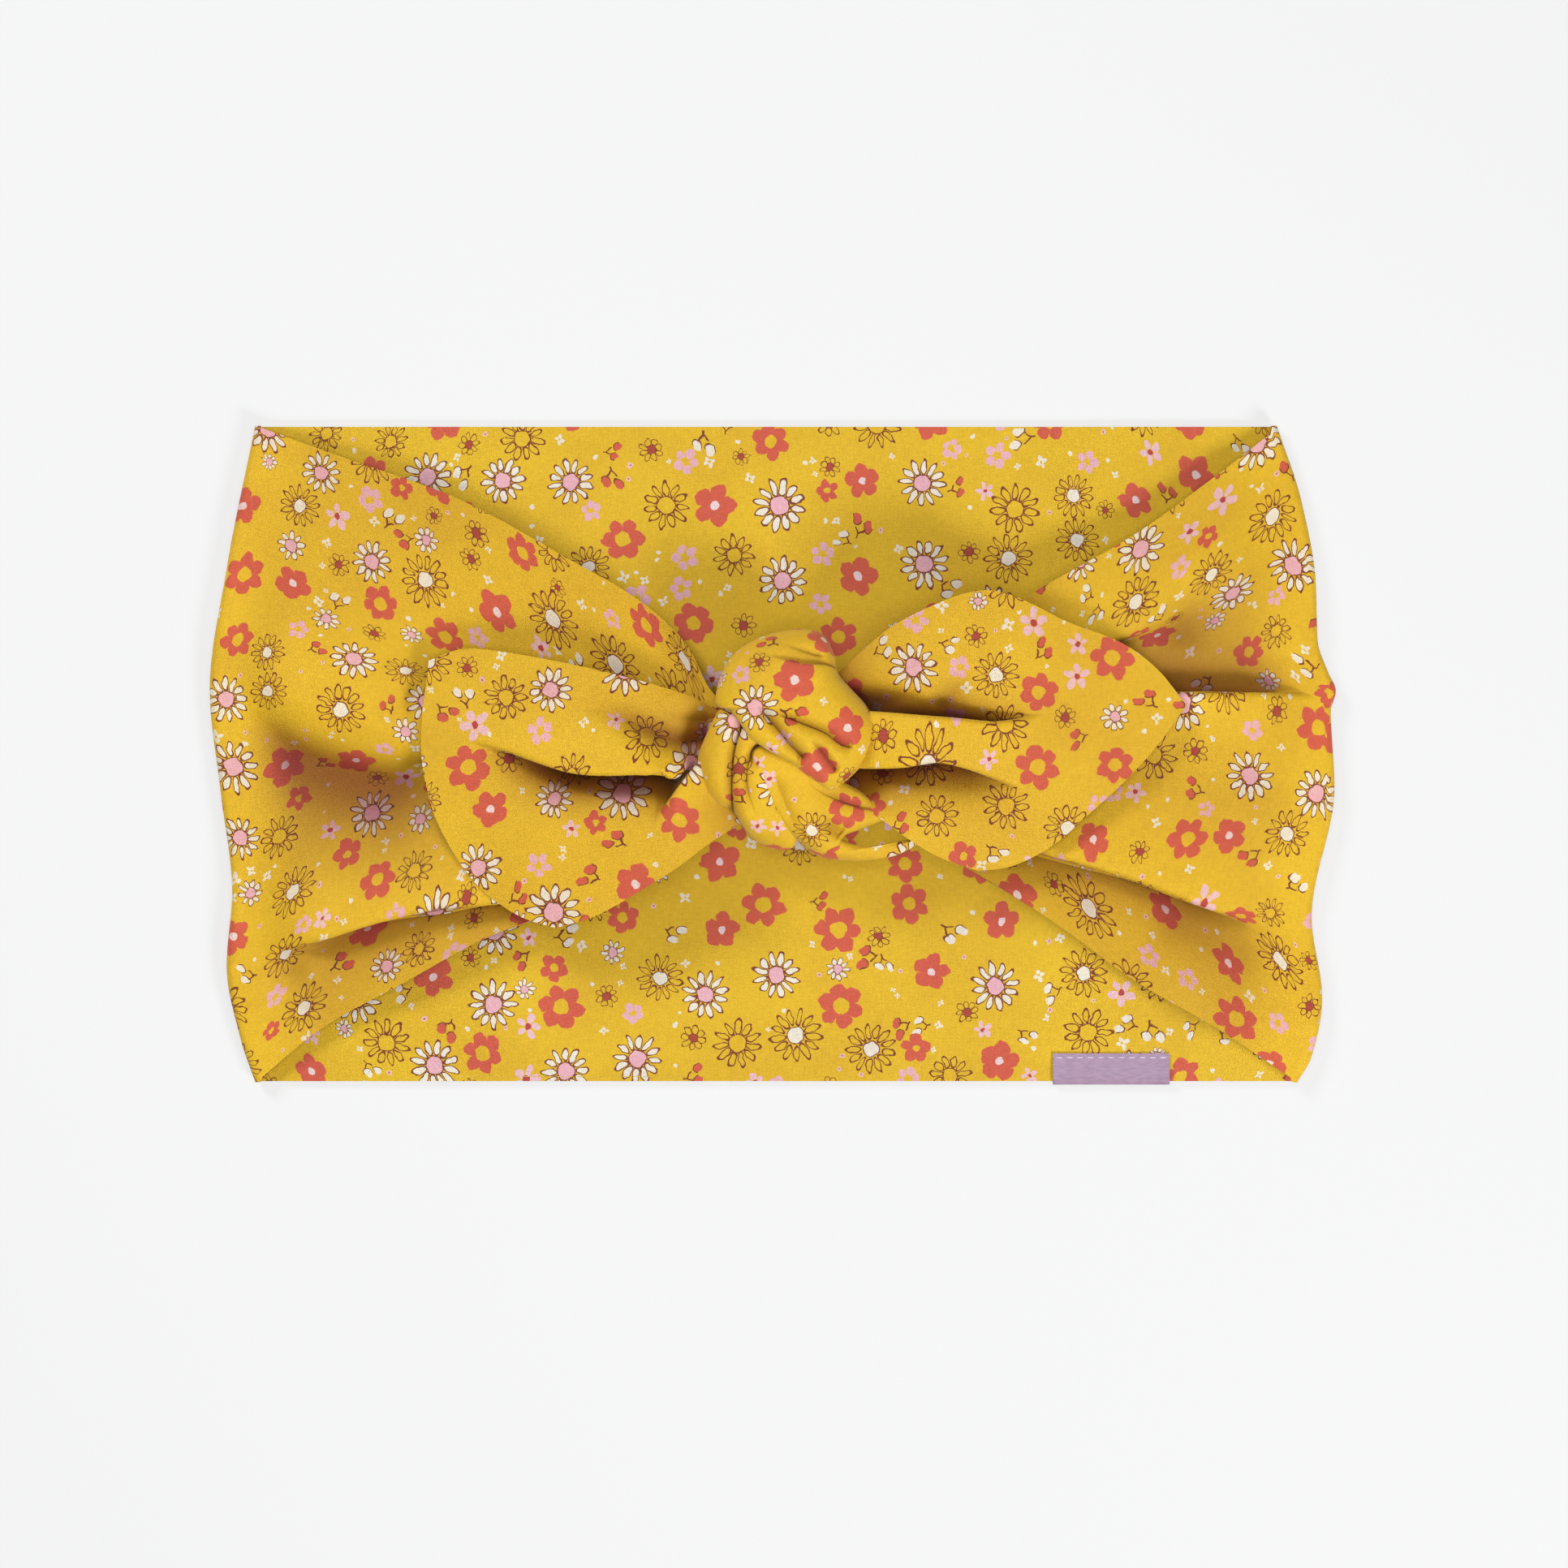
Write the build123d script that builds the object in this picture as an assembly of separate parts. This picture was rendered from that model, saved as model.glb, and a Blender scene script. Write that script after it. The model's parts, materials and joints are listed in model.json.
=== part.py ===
from build123d import *

import os

# A knotted headband laid flat: a wide self-lined loop of cloth, gathered to a narrow neck at its
# front, with a short self-lined tie knotted round the neck.
# Millimetres. X runs along the band, Y across its width, Z up from the surface that it lies on.
# The origin is under the middle of the whole, on that surface.

# The cloth
CLOTH = 0.5                  # one layer, as it lies
PLY_GAP = 0.1                # between the two layers of a self-lined piece
PLY_STEP = CLOTH + PLY_GAP
DOUBLE_CLOTH = CLOTH + PLY_STEP

# The flat loop
BAND_BOTTOM = -71.5          # lower edge of the band
BAND_TOP = 72.3              # upper edge of the band
BAND_WIDTH = BAND_TOP - BAND_BOTTOM
BAND_MIDDLE = (BAND_TOP + BAND_BOTTOM) / 2
FOLD_X = 119.7               # from the middle to each side fold's turning line
FOLD_Z = 3.9                 # height of that line, and the outside radius of the fold
BACK_HINGE_X = 15.0          # half the strip of the back that stays flat as the loop opens
CENTRE_EDGE_X = BACK_HINGE_X - 0.7   # that strip's own edge, short of the hinge so the halves turn
BACK_EDGE_X = BACK_HINGE_X + 0.2     # where each back half starts

# The front wings, which lie over the back and narrow to the neck
WING_UNDERSIDE = 5.4         # the wing's edges, over the back
WING_FOLD_RADIUS = 1.5       # inside radius of the wing's part of the fold
# From fold to neck: distance from the middle, lower edge, upper edge and height of the crown
LEFT_WING = (
    (FOLD_X, BAND_BOTTOM, BAND_TOP, 0.0),
    (111.0, -69.0, 71.0, 0.0),
    (90.0, -55.0, 63.5, 1.3),
    (60.0, -39.0, 51.0, 2.3),
    (35.0, -30.5, 37.5, 3.0),
    (17.5, -13.0, 13.0, 3.8),
)
RIGHT_WING = (
    (FOLD_X, BAND_BOTTOM, BAND_TOP, 0.0),
    (111.0, -69.0, 69.5, 0.0),
    (90.0, -55.5, 55.5, 1.3),
    (62.0, -37.0, 38.7, 2.3),
    (40.0, -23.5, 28.0, 3.0),
    (22.5, -13.0, 13.0, 3.8),
)
CROWN_POINTS = (-1.0, -0.5, 0.0, 0.5, 1.0)   # across a wing, from edge to edge

# The neck and the knot round it
NECK_LEFT, NECK_RIGHT = -13.0, 17.0
NECK_Z = 10.2
NECK_HALF_WIDTH, NECK_HALF_HEIGHT = 10.0, 3.6
NECK_CLEARANCE = 0.1
NECK_THREAD = 0.4
NECK_THREAD_WIDTH = 1.2
KNOT_CENTRE = (3.0, 2.0, 15.6)
KNOT_RADII = (18.8, 24.6, 10.0)
KNOT_REACH = 80.0             # beyond the knot on every side
WRAP_GAP = 0.1
LEFT_SIDE, RIGHT_SIDE = 1, -1
UPPER_WRAP_LINE = ((-14.0, 14.0), (8.0, -12.0))     # where the upper wrap meets the lower two
STRAND_LINE = ((-4.0, 2.0), (4.0, -24.0))           # where the crossing strand meets the lower wrap

# The tie's tails
TAIL_ROOT_Z = 12.6           # the lift line, at mid thickness
TAIL_SLOPE = 2.6             # degrees down from the knot to the tip
TAIL_HINGE_LEFT, TAIL_HINGE_RIGHT = -17.5, 23.0
LEFT_TAIL = (
    (-18.3, 11.5), (-45.0, 20.4), (-66.0, 22.9), (-75.2, 19.0), (-76.3, -2.0),
    (-65.0, -27.4), (-47.4, -37.4), (-28.0, -28.6), (-18.3, -12.0),
)
RIGHT_TAIL = (
    (23.8, 22.0), (34.0, 31.5), (46.7, 35.4), (65.0, 28.4), (83.0, 17.6), (89.2, 10.8),
    (79.7, -3.3), (62.0, -19.6), (46.7, -24.7), (33.0, -17.0), (23.8, -11.0),
)

# The folded ribbon label over the lower edge, and the two lines of thread
LABEL_LEFT, LABEL_RIGHT = 61.3, 86.9
LABEL_TOP, LABEL_BOTTOM = -65.4, -72.3
RIBBON = 0.25
LABEL_CLEARANCE = 0.05
LABEL_RECESS = RIBBON + LABEL_CLEARANCE
LABEL_TURN_GAP = 0.5         # from the band's edge to the inside of the ribbon's turn
LABEL_MARGIN = 0.3           # of the recess, round the ribbon's lower leg
RECESS_OVERCUT = 1.0         # of the recess, out past the cloth
STITCH_END_GAP = 0.6         # from the ribbon's ends to its stitches
LABEL_STITCHES = 11
LABEL_STITCH = (1.5, 0.35, 0.2)
LABEL_STITCH_INSET = 0.9     # of the stitches, from the ribbon's upper edge
LABEL_STITCH_Y = LABEL_TOP - LABEL_STITCH_INSET
SEAM_START_X, SEAM_END_X = -70.0, -17.0
SEAM_STITCHES = 19
SEAM_STITCH = (2.1, 0.25, 0.2)
SEAM_INSET = 1.0             # of the closing seam, from the band's lower edge
SEAM_STITCH_Y = BAND_BOTTOM + SEAM_INSET

LEFT, RIGHT = -1, 1


def block(x_span, y_span, z_span):
    """A box between two values on each axis."""
    size = [abs(high - low) for low, high in (x_span, y_span, z_span)]
    centre = [(high + low) / 2 for low, high in (x_span, y_span, z_span)]
    return Pos(*centre) * Box(*size)


def fold_quarter(side, inner_radius, upper):
    """A quarter of a fold: one layer turning round the fold line, above it or below it."""
    outer_radius = inner_radius + CLOTH
    roll = Cylinder(outer_radius, BAND_WIDTH) - Cylinder(inner_radius, BAND_WIDTH)
    roll = Pos(side * FOLD_X, BAND_MIDDLE, FOLD_Z) * Rot(90, 0, 0) * roll
    z_end = FOLD_Z + (1 if upper else -1) * 2 * outer_radius
    x_end = side * (FOLD_X + 2 * outer_radius)
    return roll & block((side * FOLD_X, x_end), (BAND_BOTTOM, BAND_TOP), (FOLD_Z, z_end))


def back_half(side, bottom):
    """One layer of the back, from beside the middle strip to half way round the side fold."""
    flat = block(
        (side * BACK_EDGE_X, side * FOLD_X), (BAND_BOTTOM, BAND_TOP), (bottom, bottom + CLOTH)
    )
    return flat + fold_quarter(side, FOLD_Z - bottom - CLOTH, upper=False)


def wing_section(x, low, high, crown, underside):
    """A layer's cut across a wing: level at both edges and raised by the crown between them."""
    middle, half = (low + high) / 2, (high - low) / 2
    lower = [(x, middle + s * half, underside + crown * (1 - s * s)) for s in CROWN_POINTS]
    upper = [(px, py, pz + CLOTH) for px, py, pz in lower]
    under, over = Spline(*lower), Spline(*upper)
    return make_face([under, Line(lower[-1], upper[-1]), over, Line(upper[0], lower[0])])


def wing_ply(side, stations, ply):
    """One layer of a wing, ply 0 the lining and ply 1 the outer cloth over it."""
    underside = WING_UNDERSIDE + ply * PLY_STEP
    cuts = [wing_section(side * x, low, high, crown, underside) for x, low, high, crown in stations]
    return loft(cuts, ruled=True) + fold_quarter(side, WING_FOLD_RADIUS + ply * PLY_STEP, upper=True)


def tail_ply(outline, hinge_x, side, ply):
    """One layer of a leaf-ended tail, ply 0 the backing and ply 1 the face."""
    leaf = make_face([Spline(*outline), Line(outline[-1], outline[0])])
    sheet = extrude(leaf, CLOTH, dir=(0, 0, 1))
    raised = Pos(-hinge_x, 0, ply * PLY_STEP - DOUBLE_CLOTH / 2) * sheet
    return Pos(hinge_x, 0, TAIL_ROOT_Z) * Rot(0, side * TAIL_SLOPE, 0) * raised


def neck_bar(growth, x_span):
    """An oval bar along the neck, grown all round by a distance."""
    oval = Ellipse(NECK_HALF_WIDTH + growth, NECK_HALF_HEIGHT + growth)
    length = x_span[1] - x_span[0]
    return Pos(x_span[0], 0, NECK_Z) * extrude(Plane.YZ * oval, length)


def side_block(line, side):
    """A tall block on one side of a line in plan, 1 its left and -1 its right, less half the gap."""
    (x0, y0), (x1, y1) = line
    along = Vector(x1 - x0, y1 - y0, 0).normalized()
    left = Vector(-along.Y, along.X, 0)
    middle = Vector((x0 + x1) / 2, (y0 + y1) / 2, KNOT_CENTRE[2])
    centre = middle + left * side * (WRAP_GAP / 2 + KNOT_REACH / 2)
    return Plane(origin=centre, x_dir=along, z_dir=(0, 0, 1)) * Box(2 * KNOT_REACH, KNOT_REACH, KNOT_REACH)


def stitch_row(x_span, y, bottom, count, size):
    """A row of separate thread dashes, evenly spaced between two values of X."""
    length, width, height = size
    step = (x_span[1] - x_span[0] - length) / (count - 1)
    starts = [x_span[0] + i * step for i in range(count)]
    dashes = [
        block((x, x + length), (y - width / 2, y + width / 2), (bottom, bottom + height))
        for x in starts
    ]
    return Compound(children=dashes)


def folded_label():
    """A ribbon folded round the band's lower edge, with a leg on each side of the cloth."""
    span = (LABEL_LEFT, LABEL_RIGHT)
    top_of_band = DOUBLE_CLOTH + LABEL_CLEARANCE
    turn_inside = BAND_BOTTOM - LABEL_TURN_GAP
    upper_leg = block(span, (turn_inside, LABEL_TOP), (top_of_band, top_of_band + RIBBON))
    lower_leg = block(span, (turn_inside, LABEL_TOP), (0, RIBBON))
    turn = block(span, (LABEL_BOTTOM, turn_inside), (0, top_of_band + RIBBON))
    return upper_leg + lower_leg + turn


def label_recess():
    """The room that the label's lower leg takes in the underside of the outer cloth."""
    return block(
        (LABEL_LEFT - LABEL_MARGIN, LABEL_RIGHT + LABEL_MARGIN),
        (BAND_BOTTOM - RECESS_OVERCUT, LABEL_TOP + LABEL_MARGIN),
        (-RECESS_OVERCUT, LABEL_RECESS),
    )


def knot_wraps():
    """The tie's three visible passes round the neck, cut from one rounded lump."""
    lump = Pos(*KNOT_CENTRE) * scale(Sphere(1), by=KNOT_RADII)
    passage = neck_bar(NECK_CLEARANCE, (-KNOT_REACH, KNOT_REACH))
    upper = lump & side_block(UPPER_WRAP_LINE, LEFT_SIDE)
    rest = lump & side_block(UPPER_WRAP_LINE, RIGHT_SIDE)
    return {
        "knot_upper_wrap": upper - passage,
        "knot_lower_wrap": (rest & side_block(STRAND_LINE, RIGHT_SIDE)) - passage,
        "knot_crossing_strand": (rest & side_block(STRAND_LINE, LEFT_SIDE)) - passage,
    }


def band():
    """The loop's cloth, one node for each layer of each stretch that moves as one."""
    centre = ((-CENTRE_EDGE_X, CENTRE_EDGE_X), (BAND_BOTTOM, BAND_TOP))
    return {
        "back_centre_outer": block(*centre, (0, CLOTH)),
        "back_centre_lining": block(*centre, (PLY_STEP, DOUBLE_CLOTH)),
        "back_left_outer": back_half(LEFT, 0),
        "back_left_lining": back_half(LEFT, PLY_STEP),
        "back_right_outer": back_half(RIGHT, 0) - label_recess(),
        "back_right_lining": back_half(RIGHT, PLY_STEP),
        "wing_left_lining": wing_ply(LEFT, LEFT_WING, 0),
        "wing_left_outer": wing_ply(LEFT, LEFT_WING, 1),
        "wing_right_lining": wing_ply(RIGHT, RIGHT_WING, 0),
        "wing_right_outer": wing_ply(RIGHT, RIGHT_WING, 1),
    }


def neck():
    """The gathered front of the loop inside the knot, and the thread that holds its gathers."""
    ring_span = (-NECK_THREAD_WIDTH / 2, NECK_THREAD_WIDTH / 2)
    thread = neck_bar(0, ring_span) - neck_bar(-NECK_THREAD, ring_span)
    return {
        "gathered_neck": neck_bar(0, (NECK_LEFT, NECK_RIGHT)) - thread,
        "neck_stitches": thread,
    }


def tails():
    """Both leaf-ended tails of the tie, each a backing and a face."""
    return {
        "tail_left_backing": tail_ply(LEFT_TAIL, TAIL_HINGE_LEFT, LEFT, 0),
        "tail_left_face": tail_ply(LEFT_TAIL, TAIL_HINGE_LEFT, LEFT, 1),
        "tail_right_backing": tail_ply(RIGHT_TAIL, TAIL_HINGE_RIGHT, RIGHT, 0),
        "tail_right_face": tail_ply(RIGHT_TAIL, TAIL_HINGE_RIGHT, RIGHT, 1),
    }


def trims():
    """The label, the thread that holds it, and the thread that closes the band's lower edge."""
    label_top = DOUBLE_CLOTH + LABEL_CLEARANCE + RIBBON
    label_span = (LABEL_LEFT + STITCH_END_GAP, LABEL_RIGHT - STITCH_END_GAP)
    seam_span = (SEAM_START_X, SEAM_END_X)
    return {
        "label": folded_label(),
        "label_stitches": stitch_row(
            label_span, LABEL_STITCH_Y, label_top, LABEL_STITCHES, LABEL_STITCH
        ),
        "closing_stitches": stitch_row(
            seam_span, SEAM_STITCH_Y, DOUBLE_CLOTH, SEAM_STITCHES, SEAM_STITCH
        ),
    }


os.makedirs("parts", exist_ok=True)
for group in (band(), neck(), knot_wraps(), tails(), trims()):
    for name, shape in group.items():
        export_step(shape, f"parts/{name}.step")
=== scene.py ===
"""A knotted headband laid flat: a wide self-lined loop of printed cloth, gathered at the front under
a knotted tie with two leaf-ended tails.

Millimetres are used for the cloth's own sizes, and every mesh is built in metres.
"""

import json
import logging
import math
from dataclasses import dataclass
from enum import Enum
from itertools import accumulate
from typing import Callable, Sequence

import bpy
import numpy as np
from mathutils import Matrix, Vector


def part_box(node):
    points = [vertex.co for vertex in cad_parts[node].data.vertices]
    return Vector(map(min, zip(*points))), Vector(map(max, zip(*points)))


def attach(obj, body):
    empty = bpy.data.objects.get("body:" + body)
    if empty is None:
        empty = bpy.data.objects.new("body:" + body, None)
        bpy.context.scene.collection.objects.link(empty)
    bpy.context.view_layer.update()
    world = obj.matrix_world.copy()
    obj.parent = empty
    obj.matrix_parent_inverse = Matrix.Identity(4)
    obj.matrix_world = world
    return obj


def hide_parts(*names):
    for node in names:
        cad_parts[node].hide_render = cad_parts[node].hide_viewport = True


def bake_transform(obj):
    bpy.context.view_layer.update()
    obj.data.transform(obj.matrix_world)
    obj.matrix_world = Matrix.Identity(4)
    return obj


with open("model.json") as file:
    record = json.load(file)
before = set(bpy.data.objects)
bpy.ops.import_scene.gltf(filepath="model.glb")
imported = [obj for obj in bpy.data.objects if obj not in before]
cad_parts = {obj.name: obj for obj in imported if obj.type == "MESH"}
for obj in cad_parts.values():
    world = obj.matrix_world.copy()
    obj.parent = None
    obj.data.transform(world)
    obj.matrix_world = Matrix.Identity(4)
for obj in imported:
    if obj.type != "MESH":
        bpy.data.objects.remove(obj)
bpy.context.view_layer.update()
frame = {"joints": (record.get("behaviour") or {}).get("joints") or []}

LOG = logging.getLogger("headband")
MM = 0.001
Point2 = tuple[float, float]
Colour = tuple[float, float, float]

# ---- Sizes taken from the frame, in millimetres ----


def node_box(node: str) -> tuple[np.ndarray, np.ndarray]:
    """Gives a frame node's lowest and highest corners.

    Args:
        node: The node's name.

    Returns:
        Both corners, in millimetres.
    """
    low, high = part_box(node)
    return np.array(low) / MM, np.array(high) / MM


BACK_LOW, BACK_HIGH = node_box("back_centre_outer")
BAND_LOW, BAND_HIGH = BACK_LOW[1], BACK_HIGH[1]
BAND_WIDTH = BAND_HIGH - BAND_LOW
BACK_THICKNESS = node_box("back_centre_lining")[1][2]
HINGES = {joint["name"]: np.array(joint["pos_m"]) / MM for joint in frame["joints"]}

PLY = 0.42                       # one layer of cloth
PLY_OFFSET = 0.25                # each layer's middle, from the middle of the pair
BACK_DROP = 0.03                 # how far the pair lies below the middle of the frame's back
BACK_MIDDLE_Z = BACK_THICKNESS / 2 - BACK_DROP
BACK_CUT_X = 60.0                # where the back's middle pieces meet its side pieces
NECK_END_X = 8.0                 # how far the wings run in under the knot
FULL_SHADE_DEPTH = 7.5                # a fold this deep gets the full painted shade, in millimetres
FLAT_MAP = "cloth"               # the UV map that holds each vertex's place on the flat cloth
SHADE_ATTRIBUTE = "gloom"                  # the attribute that holds each vertex's painted shade, from its depth in a fold


class Side(Enum):
    """The two halves of the band, by the sign of X."""

    LEFT = -1
    RIGHT = 1

    @property
    def word(self) -> str:
        """The side's name in nodes and bodies."""
        return self.name.lower()


class Ply(Enum):
    """The two layers of every self-lined piece."""

    OUTER = 1
    LINING = -1

    @property
    def word(self) -> str:
        """The layer's name in the band's nodes and pieces."""
        return self.name.lower()


# ---- Curves and shaping functions ----


def ease(value: np.ndarray | float) -> np.ndarray:
    """Clips a value to 0..1 and eases it at both ends."""
    clipped = np.clip(value, 0.0, 1.0)
    return clipped * clipped * (3.0 - 2.0 * clipped)


def along(points: Sequence[Point2], where: np.ndarray) -> np.ndarray:
    """Reads a smooth curve y(x) through a few points, level beyond its ends.

    Args:
        points: The curve's points, in rising or falling order of x.
        where: The values of x to read it at.

    Returns:
        The values of y.
    """
    table = np.array(sorted(points), float)
    xs, ys = table[:, 0], table[:, 1]
    steps = np.diff(xs)
    slopes = np.diff(ys) / steps
    tangents = np.zeros_like(xs)
    for i in range(1, len(xs) - 1):
        if slopes[i - 1] * slopes[i] > 0:
            weight_a, weight_b = 2 * steps[i] + steps[i - 1], steps[i] + 2 * steps[i - 1]
            tangents[i] = (weight_a + weight_b) / (weight_a / slopes[i - 1] + weight_b / slopes[i])
    tangents[0], tangents[-1] = slopes[0], slopes[-1]
    x = np.clip(where, xs[0], xs[-1])
    cell = np.clip(np.searchsorted(xs, x, side="right") - 1, 0, len(steps) - 1)
    step = steps[cell]
    t = (x - xs[cell]) / step
    return (
        (2 * t**3 - 3 * t**2 + 1) * ys[cell]
        + (t**3 - 2 * t**2 + t) * step * tangents[cell]
        + (3 * t**2 - 2 * t**3) * ys[cell + 1]
        + (t**3 - t**2) * step * tangents[cell + 1]
    )


def smooth_path(points: Sequence[Sequence[float]], count: int, closed: bool = False) -> np.ndarray:
    """Samples a smooth path through a few points, evenly along its length.

    Args:
        points: The points, in two or three dimensions.
        count: How many samples to give.
        closed: Whether the path returns to its first point, which isn't given twice.

    Returns:
        The samples, one a row.
    """
    between = 24
    knots = np.array(points, float)
    if closed:
        knots = np.vstack([knots[-1], knots, knots[0], knots[1]])
    else:
        knots = np.vstack([2 * knots[0] - knots[1], knots, 2 * knots[-1] - knots[-2]])
    fine = []
    t = np.linspace(0, 1, between, endpoint=False)[:, None]
    for before, start, end, after in zip(knots, knots[1:], knots[2:], knots[3:]):
        fine.append(
            0.5 * (
                2 * start + (end - before) * t
                + (2 * before - 5 * start + 4 * end - after) * t**2
                + (3 * start - before - 3 * end + after) * t**3
            )
        )
    path = np.vstack(fine + [knots[-2][None]])
    length = np.concatenate([[0], np.cumsum(np.linalg.norm(np.diff(path, axis=0), axis=1))])
    stations = np.linspace(0, length[-1], count, endpoint=not closed)
    return np.column_stack([np.interp(stations, length, path[:, i]) for i in range(path.shape[1])])


@dataclass(frozen=True)
class Lap:
    """A fold in cloth where one side lies over the other, along a line in plan.

    The cloth to the left of the line, seen along it, lies over the cloth to its right.
    """

    line: tuple[Point2, ...]
    over: float                   # how far the upper side rises
    under: float                  # how far the lower side sinks
    reach: Point2                 # how far the rise and the hollow run from the line
    lip: float                    # how far the upper side hangs over
    fades: Point2                 # shares of the line over which the fold starts and ends
    edge: float = 0.45            # how quickly the cloth turns over the line

    stations = 28                 # how finely the line is followed
    fall = 1.5                    # how roundly the rise and the hollow die away
    hang_share = 2.2              # how far back the overhang starts, for each millimetre of lip
    hang_least = 0.3              # and how much farther back than that

    def apply(self, plan: np.ndarray) -> tuple[np.ndarray, np.ndarray]:
        """Works out what the fold does to points in plan.

        Args:
            plan: The points, one a row.

        Returns:
            The change in height of each point, and its sideways move.
        """
        path = smooth_path(self.line, self.stations)
        starts, runs = path[:-1], np.diff(path, axis=0)
        lengths = np.linalg.norm(runs, axis=1)
        best = np.full(len(plan), np.inf)
        side = np.zeros(len(plan))
        place = np.zeros(len(plan))
        normal = np.zeros((len(plan), 2))
        passed = np.concatenate([[0], np.cumsum(lengths)])
        for start, run, length, before in zip(starts, runs, lengths, passed):
            unit = run / length
            offset = plan - start
            raw = offset @ unit
            t = np.clip(raw, 0, length)
            gap = offset - t[:, None] * unit
            distance = np.linalg.norm(gap, axis=1)
            nearer = distance < best
            left = np.array([-unit[1], unit[0]])
            best[nearer] = distance[nearer]
            side[nearer] = np.sign(offset[nearer] @ left)
            place[nearer] = (before + raw[nearer]) / passed[-1]
            normal[nearer] = left
        weight = ease(place / self.fades[0]) * ease((1 - place) / self.fades[1])
        signed = best * side
        turn = 0.5 + 0.5 * np.tanh(signed / self.edge)
        above, below = np.maximum(signed, 0), np.maximum(-signed, 0)
        rise = self.over * turn * np.exp(-((above / self.reach[0]) ** self.fall))
        sink = self.under * (1 - turn) * np.exp(-((below / self.reach[1]) ** self.fall))
        hang_reach = self.hang_share * self.lip + self.hang_least
        hang = self.lip * turn * np.exp(-((above / hang_reach) ** 2))
        return weight * (rise - sink), -(weight * hang)[:, None] * normal


def groove(line: tuple[Point2, ...], depth: float, reach: Point2, fades: Point2, edge: float = 0.45) -> Lap:
    """Gives a plain groove along a line, with no overhang.

    Args:
        line: The line in plan.
        depth: The groove's depth, or less than 0 for a ridge.
        reach: How far its left and right sides run.
        fades: The shares of the line over which it starts and ends.
        edge: How quickly its left side passes into its right.

    Returns:
        The fold.
    """
    return Lap(line=line, over=-depth, under=depth, reach=reach, lip=0.0, fades=fades, edge=edge)


def lay_folds(plan: np.ndarray, folds: Sequence[Lap]) -> tuple[np.ndarray, np.ndarray]:
    """Adds up several folds over points in plan.

    Args:
        plan: The points, one a row.
        folds: The folds.

    Returns:
        The height change of each point, and its sideways move.
    """
    height, shift = np.zeros(len(plan)), np.zeros((len(plan), 2))
    for fold in folds:
        fold_height, fold_shift = fold.apply(plan)
        height += fold_height
        shift += fold_shift
    return height, shift


def fold_gloom(shade_depth: np.ndarray) -> np.ndarray:
    """Turns depth in a fold, in millimetres, into painted shade, from 0 to 1."""
    return ease(shade_depth / FULL_SHADE_DEPTH)


def ripple(plan: np.ndarray, pitch: float, seed: int) -> np.ndarray:
    """Gives a soft irregular swell over points in plan, from -1 to 1.

    Args:
        plan: The points, one a row.
        pitch: The swell's usual wavelength.
        seed: Chooses the swell.

    Returns:
        One value for each point.
    """
    waves = 5
    random = np.random.default_rng(seed)
    total = np.zeros(len(plan))
    for _ in range(waves):
        angle = random.uniform(0, math.pi)
        wave = 2 * math.pi / (pitch * random.uniform(0.7, 1.5))
        phase = random.uniform(0, 2 * math.pi)
        total += np.sin(plan @ np.array([math.cos(angle), math.sin(angle)]) * wave + phase)
    return total / waves


# ---- Meshes ----


def grid_normals(points: np.ndarray) -> np.ndarray:
    """Gives unit normals of a grid of points, columns crossed with rows.

    Args:
        points: Rows by columns by three.

    Returns:
        The normals, in the same shape.
    """
    normals = np.cross(np.gradient(points, axis=1), np.gradient(points, axis=0))
    return normals / np.maximum(np.linalg.norm(normals, axis=2, keepdims=True), 1e-12)


def ring_faces(rings: int, spokes: int) -> tuple[np.ndarray, list[list[int]]]:
    """Joins closed rings of vertices into a tube.

    Args:
        rings: How many rings there are.
        spokes: How many vertices each has.

    Returns:
        The vertices' numbers, rings by spokes, and the tube's faces.
    """
    index = np.arange(rings * spokes).reshape(rings, spokes)
    ahead = np.roll(index, -1, axis=1)
    corners = (index[:-1], index[1:], ahead[1:], ahead[:-1])
    return index, np.column_stack([corner.ravel() for corner in corners]).tolist()


def link(made: bpy.types.Object) -> bpy.types.Object:
    """Puts an object in the scene, and gives it back."""
    bpy.context.scene.collection.objects.link(made)
    return made


def new_mesh_object(
    name: str, points: np.ndarray, faces: Sequence[Sequence[int]], uv: np.ndarray, flat_from: int,
    gloom: np.ndarray | None = None,
) -> bpy.types.Object:
    """Makes a mesh object from arrays.

    Args:
        name: The object's name.
        points: The vertices, in millimetres.
        faces: Each face's vertices.
        uv: Each vertex's place on the flat cloth, in metres.
        flat_from: The first face that is shaded flat, such as the first of a cut edge.
        gloom: Each vertex's painted shade, from 0 to 1.

    Returns:
        The linked object.
    """
    mesh = bpy.data.meshes.new(name)
    mesh.from_pydata((points * MM).tolist(), [], faces)
    if gloom is not None:
        mesh.attributes.new(SHADE_ATTRIBUTE, "FLOAT", "POINT").data.foreach_set("value", gloom.astype(np.float32))
    smooth = np.ones(len(faces), bool)
    smooth[flat_from:] = False
    mesh.polygons.foreach_set("use_smooth", smooth)
    layer = mesh.uv_layers.new(name=FLAT_MAP)
    corner = np.zeros(len(mesh.loops), np.int32)
    mesh.loops.foreach_get("vertex_index", corner)
    layer.data.foreach_set("uv", uv[corner].astype(np.float32).ravel())
    mesh.update()
    edge_of = np.zeros(len(mesh.loops), np.int32)
    mesh.loops.foreach_get("edge_index", edge_of)
    sharp = np.zeros(len(mesh.edges), bool)
    flat_corners = sum(len(face) for face in faces[:flat_from])
    sharp[edge_of[flat_corners:]] = True
    mesh.edges.foreach_set("use_edge_sharp", sharp)
    mesh.update()
    return link(bpy.data.objects.new(name, mesh))


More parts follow.
